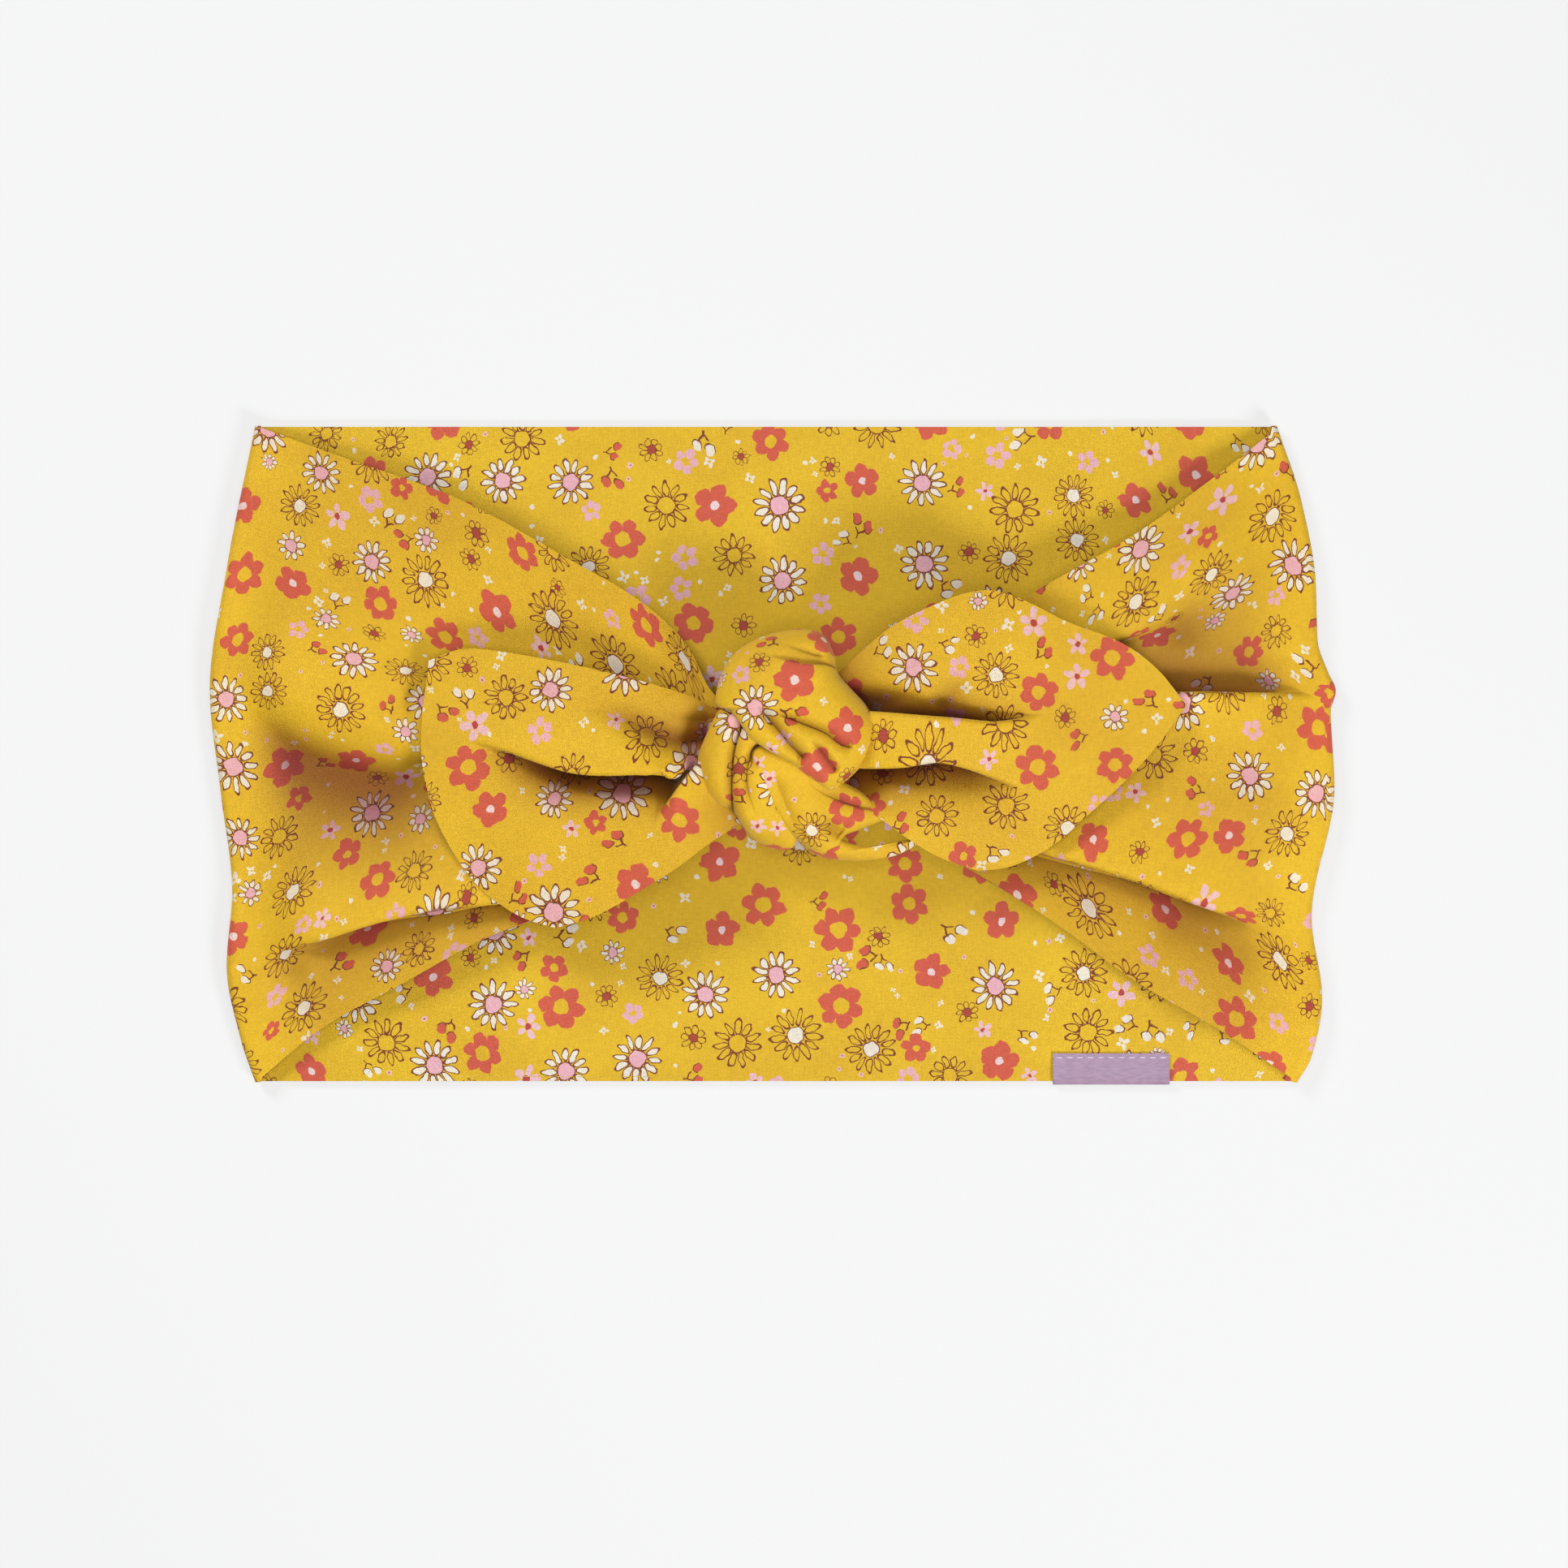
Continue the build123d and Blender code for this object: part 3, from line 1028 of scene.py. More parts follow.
class Wardrobe:
    """Every finish of the headband, each made once."""

    def __init__(self) -> None:
        """Names the finishes."""
        self.outer = PrintedCloth("printed_viscose_outer", "print_cloth")
        self.lining = PrintedCloth(
            "printed_viscose_lining", "lining_cloth", shift=(170.0, 60.0), tone=(0.94, 0.98, 1.1), sheen=0.08
        )
        self.tie = PrintedCloth("printed_viscose_tie", "tie_cloth", shift=(390.0, 240.0), sheen=0.18)
        self.backing = PrintedCloth("printed_viscose_tie_backing", "tie_backing", shift=(520.0, 90.0))
        self.seam = Thread("yellow_sewing_thread", "seam_thread", (0.66, 0.48, 0.07))
        self.label = Ribbon("lilac_satin_ribbon", "label_ribbon")
        self.label_thread = Thread("pale_lilac_thread", "label_thread", (0.66, 0.58, 0.68))
        self.made: dict[str, bpy.types.Material] = {}

    def material(self, finish: Finish) -> bpy.types.Material:
        """Gives a finish's material, made the first time."""
        if finish.name not in self.made:
            self.made[finish.name] = finish.make()
        return self.made[finish.name]

    def dress(self, piece: bpy.types.Object, finish: Finish) -> None:
        """Gives a piece its finish."""
        piece.data.materials.clear()
        piece.data.materials.append(self.material(finish))

    def fit(self, piece: bpy.types.Object, finish: Finish, node: str, body: str) -> None:
        """Dresses a piece that moves with one body, and puts it in place of its node.

        Args:
            piece: The piece.
            finish: Its finish.
            node: The frame's node that it stands for.
            body: The body it moves with.
        """
        self.dress(piece, finish)
        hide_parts(node)
        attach(piece, body)
        LOG.info("%s rides %s, %d faces", piece.name, body, len(piece.data.polygons))


# ---- The band ----


@dataclass(frozen=True)
class Pleat:
    """A pleat that runs along a wing, from its side fold to the neck."""

    line: tuple[Point2, ...]      # its crest in plan: distance from the middle, and Y
    share: float                  # how much of the wing's spare cloth it takes up
    over: int                     # 1 where the upper side lies over, -1 where the lower one does
    lift: tuple[Point2, ...]      # its height: distance from the middle, and millimetres
    least_span: float = 12.0      # the least width of cloth that it turns over
    reach: float = 13.0           # how far its height runs away to each side
    least_take: float = 0.0       # the spare cloth that it takes up even at the side fold


@dataclass
class BandHalf:
    """One side of the loop: the back from its cut, the side fold and the wing up to the neck."""

    side: Side
    upper_edge: tuple[Point2, ...]     # the wing's upper edge in plan: distance from the middle, and Y
    lower_edge: tuple[Point2, ...]
    fold_profile: tuple[Point2, ...]   # the side fold in plan: Y, and distance from the middle
    pleats: tuple[Pleat, ...]
    crown: tuple[Point2, ...]          # height of the wing's middle: distance from the middle, and Z
    bumps: tuple[Lap, ...]
    seed: int
    # height of the wing's edges
    brim: tuple[Point2, ...] = ((122, 3.2), (100, 3.8), (75, 6.2), (50, 7.6), (30, 7.8), (8, 8))
    rows: int = 190
    back_columns: int = 44
    fold_columns: int = 12
    wing_columns: int = 140
    fold_radius: float = 1.55
    edge_radius: float = 0.80          # the fold's radius at the band's edges, as a share of its radius
    edge_reach: float = 22.0           # how far in from an edge the fold gets its full radius
    wing_length: float = 118.0
    back_swell: float = 0.10           # the back's and the wing's own unevenness, and their wavelengths
    back_swell_pitch: float = 34.0
    back_swell_start: float = 14.0     # how far from its cut the back is as uneven as that
    swell: float = 1.0
    swell_pitch: float = 42.0
    pleat_width: float = 1.05          # cloth that a pleat turns over, for each millimetre it takes up
    pleat_turn: float = 3.4            # how sharply a pleat turns over its crest
    pleat_fall: float = 2.2            # how squarely its height runs away
    brim_power: float = 3.0            # how late the wing's middle height gives way to its edges' height
    settle: float = 16.0               # how far from the side fold the wing reaches its own height
    slide_start: float = 5.0           # and its folds may move it sideways
    least_height: float = 3.1          # of the wing, over the back
    shade: float = 2.2                 # painted shade over the whole wing, as a fold depth in millimetres
    relief_shade: float = 1.2          # more painted shade on a pleat's low side and less on its high side, in millimetres for each millimetre of its height

    def across(self) -> np.ndarray:
        """Gives the place of each row across the flat cloth."""
        return np.linspace(BAND_LOW, BAND_HIGH, self.rows)

    def in_plan(self, x: np.ndarray, y: np.ndarray) -> np.ndarray:
        """Gives points in plan, one a row, from their distance from the middle and Y."""
        return np.column_stack([(self.side.value * x).ravel(), y.ravel()])

    def back(self, v: np.ndarray) -> np.ndarray:
        """Builds the back, from its cut to the start of the side fold.

        Args:
            v: The rows' places across the cloth.

        Returns:
            Rows by columns by three.
        """
        turn_x = along(self.fold_profile, v) - self.radius(v)
        t = np.linspace(0, 1, self.back_columns)[None, :]
        x = BACK_CUT_X + (turn_x[:, None] - BACK_CUT_X) * t
        y = np.repeat(v[:, None], self.back_columns, axis=1)
        uneven = ripple(self.in_plan(x, y), self.back_swell_pitch, self.seed).reshape(x.shape) + 1
        swell = self.back_swell * uneven * ease((x - BACK_CUT_X) / self.back_swell_start)
        return np.dstack([self.side.value * x, y, BACK_MIDDLE_Z + swell])

    def radius(self, v: np.ndarray) -> np.ndarray:
        """Gives the side fold's radius at each row: smaller at the band's edges."""
        near_edge = np.minimum(v - BAND_LOW, BAND_HIGH - v)
        fullness = self.edge_radius + (1 - self.edge_radius) * ease(near_edge / self.edge_reach)
        return self.fold_radius * fullness

    def fold(self, v: np.ndarray) -> np.ndarray:
        """Builds the turn of the side fold, without its two end columns.

        Args:
            v: The rows' places across the cloth.

        Returns:
            Rows by columns by three.
        """
        angle = np.linspace(-math.pi / 2, math.pi / 2, self.fold_columns + 2)[1:-1][None, :]
        radius = self.radius(v)[:, None]
        centre = along(self.fold_profile, v)[:, None] - radius
        x = centre + radius * np.cos(angle)
        z = BACK_MIDDLE_Z + radius + radius * np.sin(angle)
        return np.dstack([self.side.value * x, np.repeat(v[:, None], x.shape[1], axis=1), z])

    def gather(self, x: np.ndarray, v: np.ndarray) -> tuple[np.ndarray, np.ndarray]:
        """Takes up the wing's spare cloth in its pleats.

        Args:
            x: Each point's distance from the middle: rows by columns.
            v: The rows' places across the cloth.

        Returns:
            Each point's Y, and its height on the pleats.
        """
        high, low = along(self.upper_edge, x), along(self.lower_edge, x)
        spare = np.maximum(BAND_WIDTH - (high - low), 0)
        place = v[:, None] - BAND_LOW
        y = low + place
        relief = np.zeros_like(x)
        taken = np.zeros_like(x)
        for pleat in self.pleats:
            take = np.maximum(pleat.share * spare, pleat.least_take)
            crest = along(pleat.line, x) - low + taken + take / 2
            span = np.maximum(take * self.pleat_width, pleat.least_span)
            ahead = (place - crest) / span
            y = y - take * ease(ahead + 0.5)
            taken = taken + take
            near = np.exp(-np.abs((place - crest) / (pleat.reach + span / 2)) ** self.pleat_fall)
            relief += pleat.over * along(pleat.lift, x) * np.tanh(self.pleat_turn * ahead) * near
        return y + (taken - spare) * (place / BAND_WIDTH), relief

    def wing(self, v: np.ndarray) -> tuple[np.ndarray, np.ndarray]:
        """Builds the wing, from the side fold to the neck.

        Args:
            v: The rows' places across the cloth.

        Returns:
            The points, rows by columns by three, and each one's painted shade, as a fold depth in
            millimetres.
        """
        radius = self.radius(v)
        start = (along(self.fold_profile, v) - radius)[:, None]
        x = start + (NECK_END_X - start) * np.linspace(0, 1, self.wing_columns)[None, :]
        y, relief = self.gather(x, v)
        plan = self.in_plan(x, y)
        rise, slide = lay_folds(plan, self.bumps)
        rise = rise.reshape(x.shape)
        slide = slide.reshape(*x.shape, 2) * ease((start - x) / self.slide_start)[:, :, None]
        from_middle = np.abs(2 * (v[:, None] - BAND_LOW) / BAND_WIDTH - 1)
        crown, brim = along(self.crown, x), along(self.brim, x)
        swell = self.swell * ripple(plan, self.swell_pitch, self.seed + 1).reshape(x.shape)
        body = crown + (brim - crown) * from_middle**self.brim_power + rise + relief + swell
        level = (BACK_MIDDLE_Z + 2 * radius)[:, None]
        settle = ease((start - x) / self.settle)
        z = np.maximum(level + (body - level) * settle, level * (1 - settle) + self.least_height * settle)
        # painted shade: a base over the wing, more in sunk folds and on pleats' low sides, none at the side
        # fold
        shade_depth = (self.shade - rise - self.relief_shade * relief) * settle
        return np.dstack([self.side.value * x + slide[:, :, 0], y + slide[:, :, 1], z]), shade_depth

    def flat_places(self) -> np.ndarray:
        """Gives each column's place along the flat cloth, from the middle of the back."""
        fold_start = along(self.fold_profile, self.across()).mean() - self.fold_radius
        turn = math.pi * self.fold_radius
        return np.concatenate([
            np.linspace(BACK_CUT_X, fold_start, self.back_columns),
            fold_start + turn * np.linspace(0, 1, self.fold_columns + 2)[1:-1],
            fold_start + turn + np.linspace(0, self.wing_length, self.wing_columns),
        ])

    def build(self, ply: Ply) -> bpy.types.Object:
        """Builds one layer of this half of the band.

        Args:
            ply: Which layer.

        Returns:
            The linked piece.
        """
        v = self.across()
        wing, wing_shade_depth = self.wing(v)
        points = np.concatenate([self.back(v), self.fold(v), wing], axis=1)
        level = np.zeros((self.rows, points.shape[1] - self.wing_columns))
        s = self.flat_places()
        uv = np.dstack([
            np.repeat(self.side.value * s[None, :], self.rows, axis=0), np.repeat(v[:, None], len(s), axis=1)
        ]) * MM
        piece = thin_sheet(
            f"band_{self.side.word}_{ply.word}", points, uv, -self.side.value, ply,
            shade_depth=np.concatenate([level, wing_shade_depth], axis=1),
        )
        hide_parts(f"back_{self.side.word}_{ply.word}", f"wing_{self.side.word}_{ply.word}")
        return piece


LEFT_HALF = BandHalf(
    side=Side.LEFT,
    upper_edge=((113.5, 72.3), (95, 65.5), (70, 56.5), (45, 43), (27.4, 32.4), (18.5, 23.5), (14, 14.6),
                (8, 9)),
    lower_edge=((113.5, -71.5), (98.8, -59.5), (81, -49.7), (63, -39.9), (45, -33), (27, -24), (14, -12),
                (8, -9)),
    fold_profile=(
        (72.3, 113.5), (41, 119.7), (14.6, 123.4), (-8, 121), (-30, 118.5), (-46, 119.7), (-62, 116.7),
        (-71.5, 113.5),
    ),
    pleats=(
        Pleat(
            line=((122, -46), (112, -43.5), (104, -41), (90, -37), (63, -31), (40, -24), (20, -8), (8, -5)),
            share=0.32, over=1, lift=((122, 0.3), (108, 0.7), (90, 1.2), (60, 1.0), (20, 0.5)),
            least_span=14, reach=8,
        ),
        Pleat(
            line=((122, 12), (112, 7), (95, 1), (75, -1), (40, 0), (20, 0), (8, 0)),
            share=0.36, over=1, lift=((122, 0.3), (112, 0.9), (95, 1.2), (60, 1.0), (20, 0.5)),
            least_span=26, reach=16,
        ),
        Pleat(
            line=((122, 40), (95, 27), (70, 19), (45, 15), (25, 9), (14, 5), (8, 4)),
            share=0.32, over=1, lift=((122, 0.0), (95, 0.5), (60, 1.0), (20, 0.6)),
            least_span=30, reach=12,
        ),
    ),
    crown=((122, 4.6), (100, 7.4), (75, 8.0), (50, 7.0), (20, 7.2), (8, 9.4)),
    bumps=(
        groove(line=((-124, 21), (-113, 16), (-97, 10.6), (-76, 2.4), (-60, -2)),
               depth=-2.6, reach=(13, 6), fades=(0.2, 0.3), edge=2.0),
        groove(line=((-121, 8.0), (-112, 5.4), (-105, 1.4), (-97, -2.6), (-86, -6), (-70, -9)),
               depth=3.6, reach=(5, 11), fades=(0.15, 0.3), edge=2.0),
        groove(line=((-80.5, 16), (-78.8, 12.6), (-78, 7)),
               depth=1.2, reach=(3, 3), fades=(0.4, 0.4), edge=1.0),
        Lap(line=((-110, -44.5), (-104, -41), (-98, -39), (-87, -35.5), (-74, -32.5), (-59, -31), (-46, -27)),
            over=1.7, under=2.0, reach=(7, 5), lip=1.3, fades=(0.22, 0.1), edge=0.35),
        groove(line=((-113, -52), (-107, -48), (-101, -45)),
               depth=1.4, reach=(3, 4), fades=(0.5, 0.4), edge=1.0),
    ),
    seed=3,
)

RIGHT_HALF = BandHalf(
    side=Side.RIGHT,
    upper_edge=((111, 72.3), (95.8, 60.5), (79.7, 48.9), (62, 38.7), (45, 29), (30, 20), (22, 12), (8, 9)),
    lower_edge=((114.6, -71.5), (97.6, -60), (79.7, -49.7), (62, -37), (44, -25.6), (31.5, -18.5),
                (20, -11), (8, -9)),
    fold_profile=(
        (72.3, 110), (55.6, 115.4), (37.8, 118.5), (25.3, 118.9), (18, 121.3), (14.2, 122.9), (10, 121.8),
        (-6.9, 122.6), (-35.4, 117.6), (-53.3, 119.9), (-66, 117.6), (-71.5, 114.5),
    ),
    pleats=(
        Pleat(
            line=((122, -41), (112, -38), (94, -32), (75, -24.5), (60, -20), (46, -14), (20, -4), (8, -4)),
            share=0.40, over=1, lift=((122, 0.3), (108, 0.7), (90, 1.1), (60, 1.0), (20, 0.5)),
            least_span=13, reach=9,
        ),
        Pleat(
            line=((123.4, 13.8), (110, 12.8), (90, 12.5), (75, 12), (40, 8), (20, 2), (8, 1)),
            share=0.30, over=-1, lift=((123.4, 0.8), (112, 0.9), (90, 1.0), (60, 1.0), (20, 0.5)),
            least_span=6, reach=10, least_take=2.4,
        ),
        Pleat(
            line=((122, 44), (95, 33), (80, 27), (60, 20), (40, 14), (20, 5), (8, 4)),
            share=0.30, over=1, lift=((122, 0.0), (100, 0.6), (85, 1.4), (60, 1.2), (20, 0.6)),
            least_span=24, reach=11,
        ),
    ),
    crown=((122, 4.6), (100, 7.2), (80, 8.0), (50, 7.0), (20, 7.2), (8, 9.4)),
    bumps=(
        Lap(line=((123, 13.6), (118, 12.7), (104, 12.6), (89, 12.8), (75, 12.0), (60, 10)),
            over=1.5, under=2.8, reach=(7, 8), lip=1.2, fades=(0.12, 0.3), edge=0.3),
        groove(line=((92.5, 40), (90.4, 32), (88.5, 22)),
               depth=1.3, reach=(5, 5), fades=(0.4, 0.3), edge=1.6),
        Lap(line=((50, -16), (59, -20.3), (73, -24.3), (82.6, -27.7), (92, -31.4), (100.4, -35), (107, -39)),
            over=1.7, under=2.2, reach=(7, 6), lip=1.2, fades=(0.1, 0.3), edge=0.35),
        groove(line=((80, -34), (90, -38), (103, -44), (112, -52)),
               depth=1.2, reach=(4, 8), fades=(0.25, 0.4), edge=1.6),
    ),
    seed=11,
)


@dataclass
class BackMiddle:
    """Half of the back's middle stretch, from the middle to where a band half starts."""

    side: Side
    rows: int = 96
    columns: int = 48

    def build(self, ply: Ply) -> bpy.types.Object:
        """Builds one layer.

        Args:
            ply: Which layer.

        Returns:
            The linked piece.
        """
        v = np.linspace(BAND_LOW, BAND_HIGH, self.rows)
        s = np.linspace(0, BACK_CUT_X, self.columns)
        x = np.repeat(self.side.value * s[None, :], self.rows, axis=0)
        y = np.repeat(v[:, None], self.columns, axis=1)
        points = np.dstack([x, y, np.full_like(x, BACK_MIDDLE_Z)])
        name = f"back_middle_{self.side.word}_{ply.word}"
        return thin_sheet(name, points, np.dstack([x, y]) * MM, -self.side.value, ply)


class Band:
    """The loop: two halves and the back's middle, in two layers each."""

    halves = (LEFT_HALF, RIGHT_HALF)
    bend_start = 6.0              # this and the next: distances from the middle, in millimetres
    bend_end = 27.0
    fold_blend = (1.35, 2.3)      # two heights, in millimetres

    def build(self, wardrobe: Wardrobe) -> None:
        """Builds and dresses every piece of the band.

        Args:
            wardrobe: The finishes.
        """
        for ply in Ply:
            finish = wardrobe.outer if ply is Ply.OUTER else wardrobe.lining
            for half in self.halves:
                self.add_half(half, ply, wardrobe, finish)
                self.add_middle(BackMiddle(half.side), ply, wardrobe, finish)

    def add_half(self, half: BandHalf, ply: Ply, wardrobe: Wardrobe, finish: PrintedCloth) -> None:
        """Adds one layer of one half, turning at its side fold.

        Args:
            half: The half.
            ply: Which layer.
            wardrobe: The finishes.
            finish: This layer's own.
        """
        piece = half.build(ply)
        wardrobe.dress(piece, finish)
        side, word = half.side.value, half.side.word
        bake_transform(piece)
        fold_x = np.mean([x for _, x in half.fold_profile])
        length = (fold_x - BACK_CUT_X + math.pi * half.fold_radius + half.wing_length) * MM
        LOG.info("%s rides back_%s and wing_%s", piece.name, word, word)

    def add_middle(self, middle: BackMiddle, ply: Ply, wardrobe: Wardrobe, finish: PrintedCloth) -> None:
        """Adds one layer of the back's middle.

        Args:
            middle: Which half of the middle.
            ply: Which layer.
            wardrobe: The finishes.
            finish: This layer's own.
        """
        piece = middle.build(ply)
        wardrobe.dress(piece, finish)
        side, word = middle.side.value, middle.side.word
        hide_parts(f"back_centre_{ply.word}")
        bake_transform(piece)
        LOG.info("%s rides back_centre and back_%s", piece.name, word)


# ---- The tie's tails ----


@dataclass
class Tail:
    """A leaf-ended tail of the tie: two layers turned out together, folded at the knot."""

    side: Side
    root: tuple[Point2, ...]       # its end under the knot, from lower to upper
    upper: tuple[Point2, ...]      # its upper edge, from the knot out
    lower: tuple[Point2, ...]      # its lower edge, from the knot out
    tip: tuple[Point2, ...]        # its outer end, from lower to upper
    folds: tuple[Lap, ...]
    height: tuple[Point2, ...]     # share of the way out, and height
    flat: Point2                   # its flat width and length
    seed: int
    belly: float = 1.6
    belly_forward: float = 0.8     # less than 1 where the belly lies nearer the knot
    swell: float = 0.35            # its own unevenness, and the wavelength
    swell_pitch: float = 26.0
    side_hem: float = 0.10         # shares of its width and length over which its folds fade at its edges
    end_hem: float = 0.08
    hem_share: float = 0.35        # how much of a fold is left at an edge
    shade: float = 1.5             # painted shade over the whole tail, as a fold depth in millimetres
    root_shade: float = 3.6        # more painted shade where it comes out of the knot, standing in for the knot's shadow
    root_reach: float = 0.15       # the share of its length that gets that painted shadow
    bend_before: float = 3.0       # this and the next: distances to each side of its hinge, in millimetres
    bend_after: float = 4.0
    let_out: float = 1.12          # its flat area, as a share of its outline's
    rows: int = 190
    columns: int = 170

    def patch(self) -> np.ndarray:
        """Fills the tail's outline with an even grid.

        Returns:
            Rows by columns by two, rows from lower to upper and columns from the knot out.
        """
        root, tip = smooth_path(self.root, self.rows), smooth_path(self.tip, self.rows)
        low, high = smooth_path(self.lower, self.columns), smooth_path(self.upper, self.columns)
        u = np.linspace(0, 1, self.columns)[None, :, None]
        v = np.linspace(0, 1, self.rows)[:, None, None]
        ruled_u = (1 - u) * root[:, None, :] + u * tip[:, None, :]
        ruled_v = (1 - v) * low[None, :, :] + v * high[None, :, :]
        corners = (1 - v) * ((1 - u) * low[0] + u * low[-1]) + v * ((1 - u) * high[0] + u * high[-1])
        return ruled_u + ruled_v - corners

    def build(self, ply: Ply) -> bpy.types.Object:
        """Builds one layer of the tail.

        Args:
            ply: Which layer.

        Returns:
            The linked piece.
        """
        plan = self.patch()
        shape = plan.shape[:2]
        flat = plan.reshape(-1, 2)
        rise, slide = lay_folds(flat, self.folds)
        u = np.linspace(0, 1, self.columns)[None, :]
        v = np.linspace(0, 1, self.rows)[:, None]
        arch = self.belly * (1 - (2 * v - 1) ** 2) * np.sin(math.pi * u**self.belly_forward)
        swell = self.swell * ripple(flat, self.swell_pitch, self.seed).reshape(shape)
        hem = np.minimum(np.minimum(v, 1 - v) / self.side_hem, (1 - u) / self.end_hem)
        inside = self.hem_share + (1 - self.hem_share) * ease(np.broadcast_to(hem, shape))
        rise = rise.reshape(shape) * inside
        moved = plan + slide.reshape(plan.shape) * inside[:, :, None]
        points = np.dstack([moved, along(self.height, u) + arch + swell + rise])
        # painted shade: a base over the tail, more in sunk folds, and a painted shadow of the knot at its
        # root
        shade_depth = self.shade - rise + self.root_shade * np.exp(-((u / self.root_reach) ** 2))
        name = f"tail_{self.side.word}_{'face' if ply is Ply.OUTER else 'backing'}"
        piece = thin_sheet(f"tie_{name}", points, plan * MM, self.side.value, ply, shade_depth)
        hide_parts(name)
        return piece

    def add(self, wardrobe: Wardrobe) -> None:
        """Builds both layers and dresses them.

        Args:
            wardrobe: The finishes.
        """
        hinge_x, _, hinge_z = HINGES[f"tail_{self.side.word}_lift"] * MM
        for ply in Ply:
            piece = self.build(ply)
            wardrobe.dress(piece, wardrobe.tie if ply is Ply.OUTER else wardrobe.backing)
            f"tail_{self.side.word}"
            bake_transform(piece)
            self.area()
            LOG.info("%s rides knot and tail_%s", piece.name, self.side.word)

    def area(self) -> float:
        """Gives the leaf's flat area in square metres: its outline's, let out at the gathered root."""
        plan = self.patch()
        ring = np.vstack([plan[0], plan[1:, -1], plan[-1, -2::-1], plan[-2:0:-1, 0]])
        x, y = ring[:, 0], ring[:, 1]
        outline = abs(np.sum(x * np.roll(y, -1) - y * np.roll(x, -1))) / 2
        return min(outline * self.let_out, self.flat[0] * self.flat[1]) * MM * MM


LEFT_TAIL = Tail(
    side=Side.LEFT,
    root=((-4, -13), (-7, -4), (-9, 4), (-10, 8.5)),
    upper=((-10, 8.5), (-18.5, 12.8), (-31, 16.6), (-45, 19.9), (-60, 22.6), (-68, 23.0), (-74.9, 20.6)),
    lower=((-4, -13), (-13, -18.3), (-20, -23.6), (-27.4, -28.3), (-38, -34.4), (-47.4, -37.4)),
    tip=((-47.4, -37.4), (-56, -34.4), (-65, -27.4), (-72.4, -15.8), (-75.8, -5), (-76.5, 5.6),
         (-74.9, 20.6)),
    folds=(
        Lap(line=((-68, 3.5), (-60, 2.0), (-50, -0.6), (-42.7, -2.4), (-36, -2.8), (-26, -2.6), (-19, -3.6)),
            over=2.4, under=9.0, reach=(8, 6.0), lip=1.8, fades=(0.5, 0.06), edge=0.35),
        groove(line=((-13, 3.6), (-21, 3.4), (-28, 6.0), (-36, 9.4), (-46, 12.4)),
               depth=5.2, reach=(3.0, 3.4), fades=(0.05, 0.7)),
        Lap(line=((-14, 0), (-18.2, -5), (-22, -10), (-27, -16)),
            over=1.8, under=1.6, reach=(6, 4), lip=0.9, fades=(0.1, 0.5)),
        groove(line=((-12, 8.2), (-18, 8.0), (-27, 10.2)),
               depth=1.3, reach=(1.6, 1.6), fades=(0.05, 0.7)),
        Lap(line=((-30, -3.2), (-24.6, -1.4), (-21.4, -3.2), (-17, -1.2)),
            over=0.9, under=1.6, reach=(2, 2), lip=0.5, fades=(0.4, 0.2), edge=0.3),
    ),
    height=((0, 11.5), (0.14, 14.0), (0.36, 17.4), (0.6, 15.4), (1, 12.2)), flat=(62.0, 78.0), seed=21,
)

RIGHT_TAIL = Tail(
    side=Side.RIGHT,
    root=((14, -9), (13, 0), (12, 8), (11, 15)),
    upper=((11, 15), (18, 21.5), (26, 28), (36, 33), (43, 35.3), (49, 35.3), (56, 32.6), (63.7, 28.8),
           (75, 24.6), (83, 18.9), (89.6, 10.9)),
    lower=((14, -9), (22.6, -13.4), (29, -18), (36, -22), (44.5, -24.9)),
    tip=((44.5, -24.9), (52, -23.8), (60.5, -19.5), (68, -13.0), (75.5, -6.2), (82.6, 1.4), (89.6, 10.9)),
    folds=(
        Lap(line=((60, 9.4), (54, 7.6), (46.5, 6.4), (35.4, 6.9), (22, 8.0), (14, 8.6)),
            over=2.0, under=9.4, reach=(6, 4.0), lip=1.6, fades=(0.5, 0.05), edge=0.35),
        Lap(line=((14, -1.0), (20, -1.6), (28, -1.4), (35, -0.4), (40.5, -1.5), (48, -4.5), (56, -8.5)),
            over=2.0, under=7.0, reach=(6, 6.5), lip=1.4, fades=(0.05, 0.5), edge=0.35),
        groove(line=((35, 10), (39, 14), (42, 20)),
               depth=1.6, reach=(3, 3), fades=(0.2, 0.6), edge=1.0),
        groove(line=((12, 11.0), (24, 11.6), (34, 14.4)),
               depth=3.4, reach=(2.6, 3.2), fades=(0.05, 0.8)),
    ),
    height=((0, 12.0), (0.12, 14.8), (0.34, 17.8), (0.6, 15.4), (1, 12.0)), flat=(62.0, 80.0), seed=33,
)


# ---- The knot ----


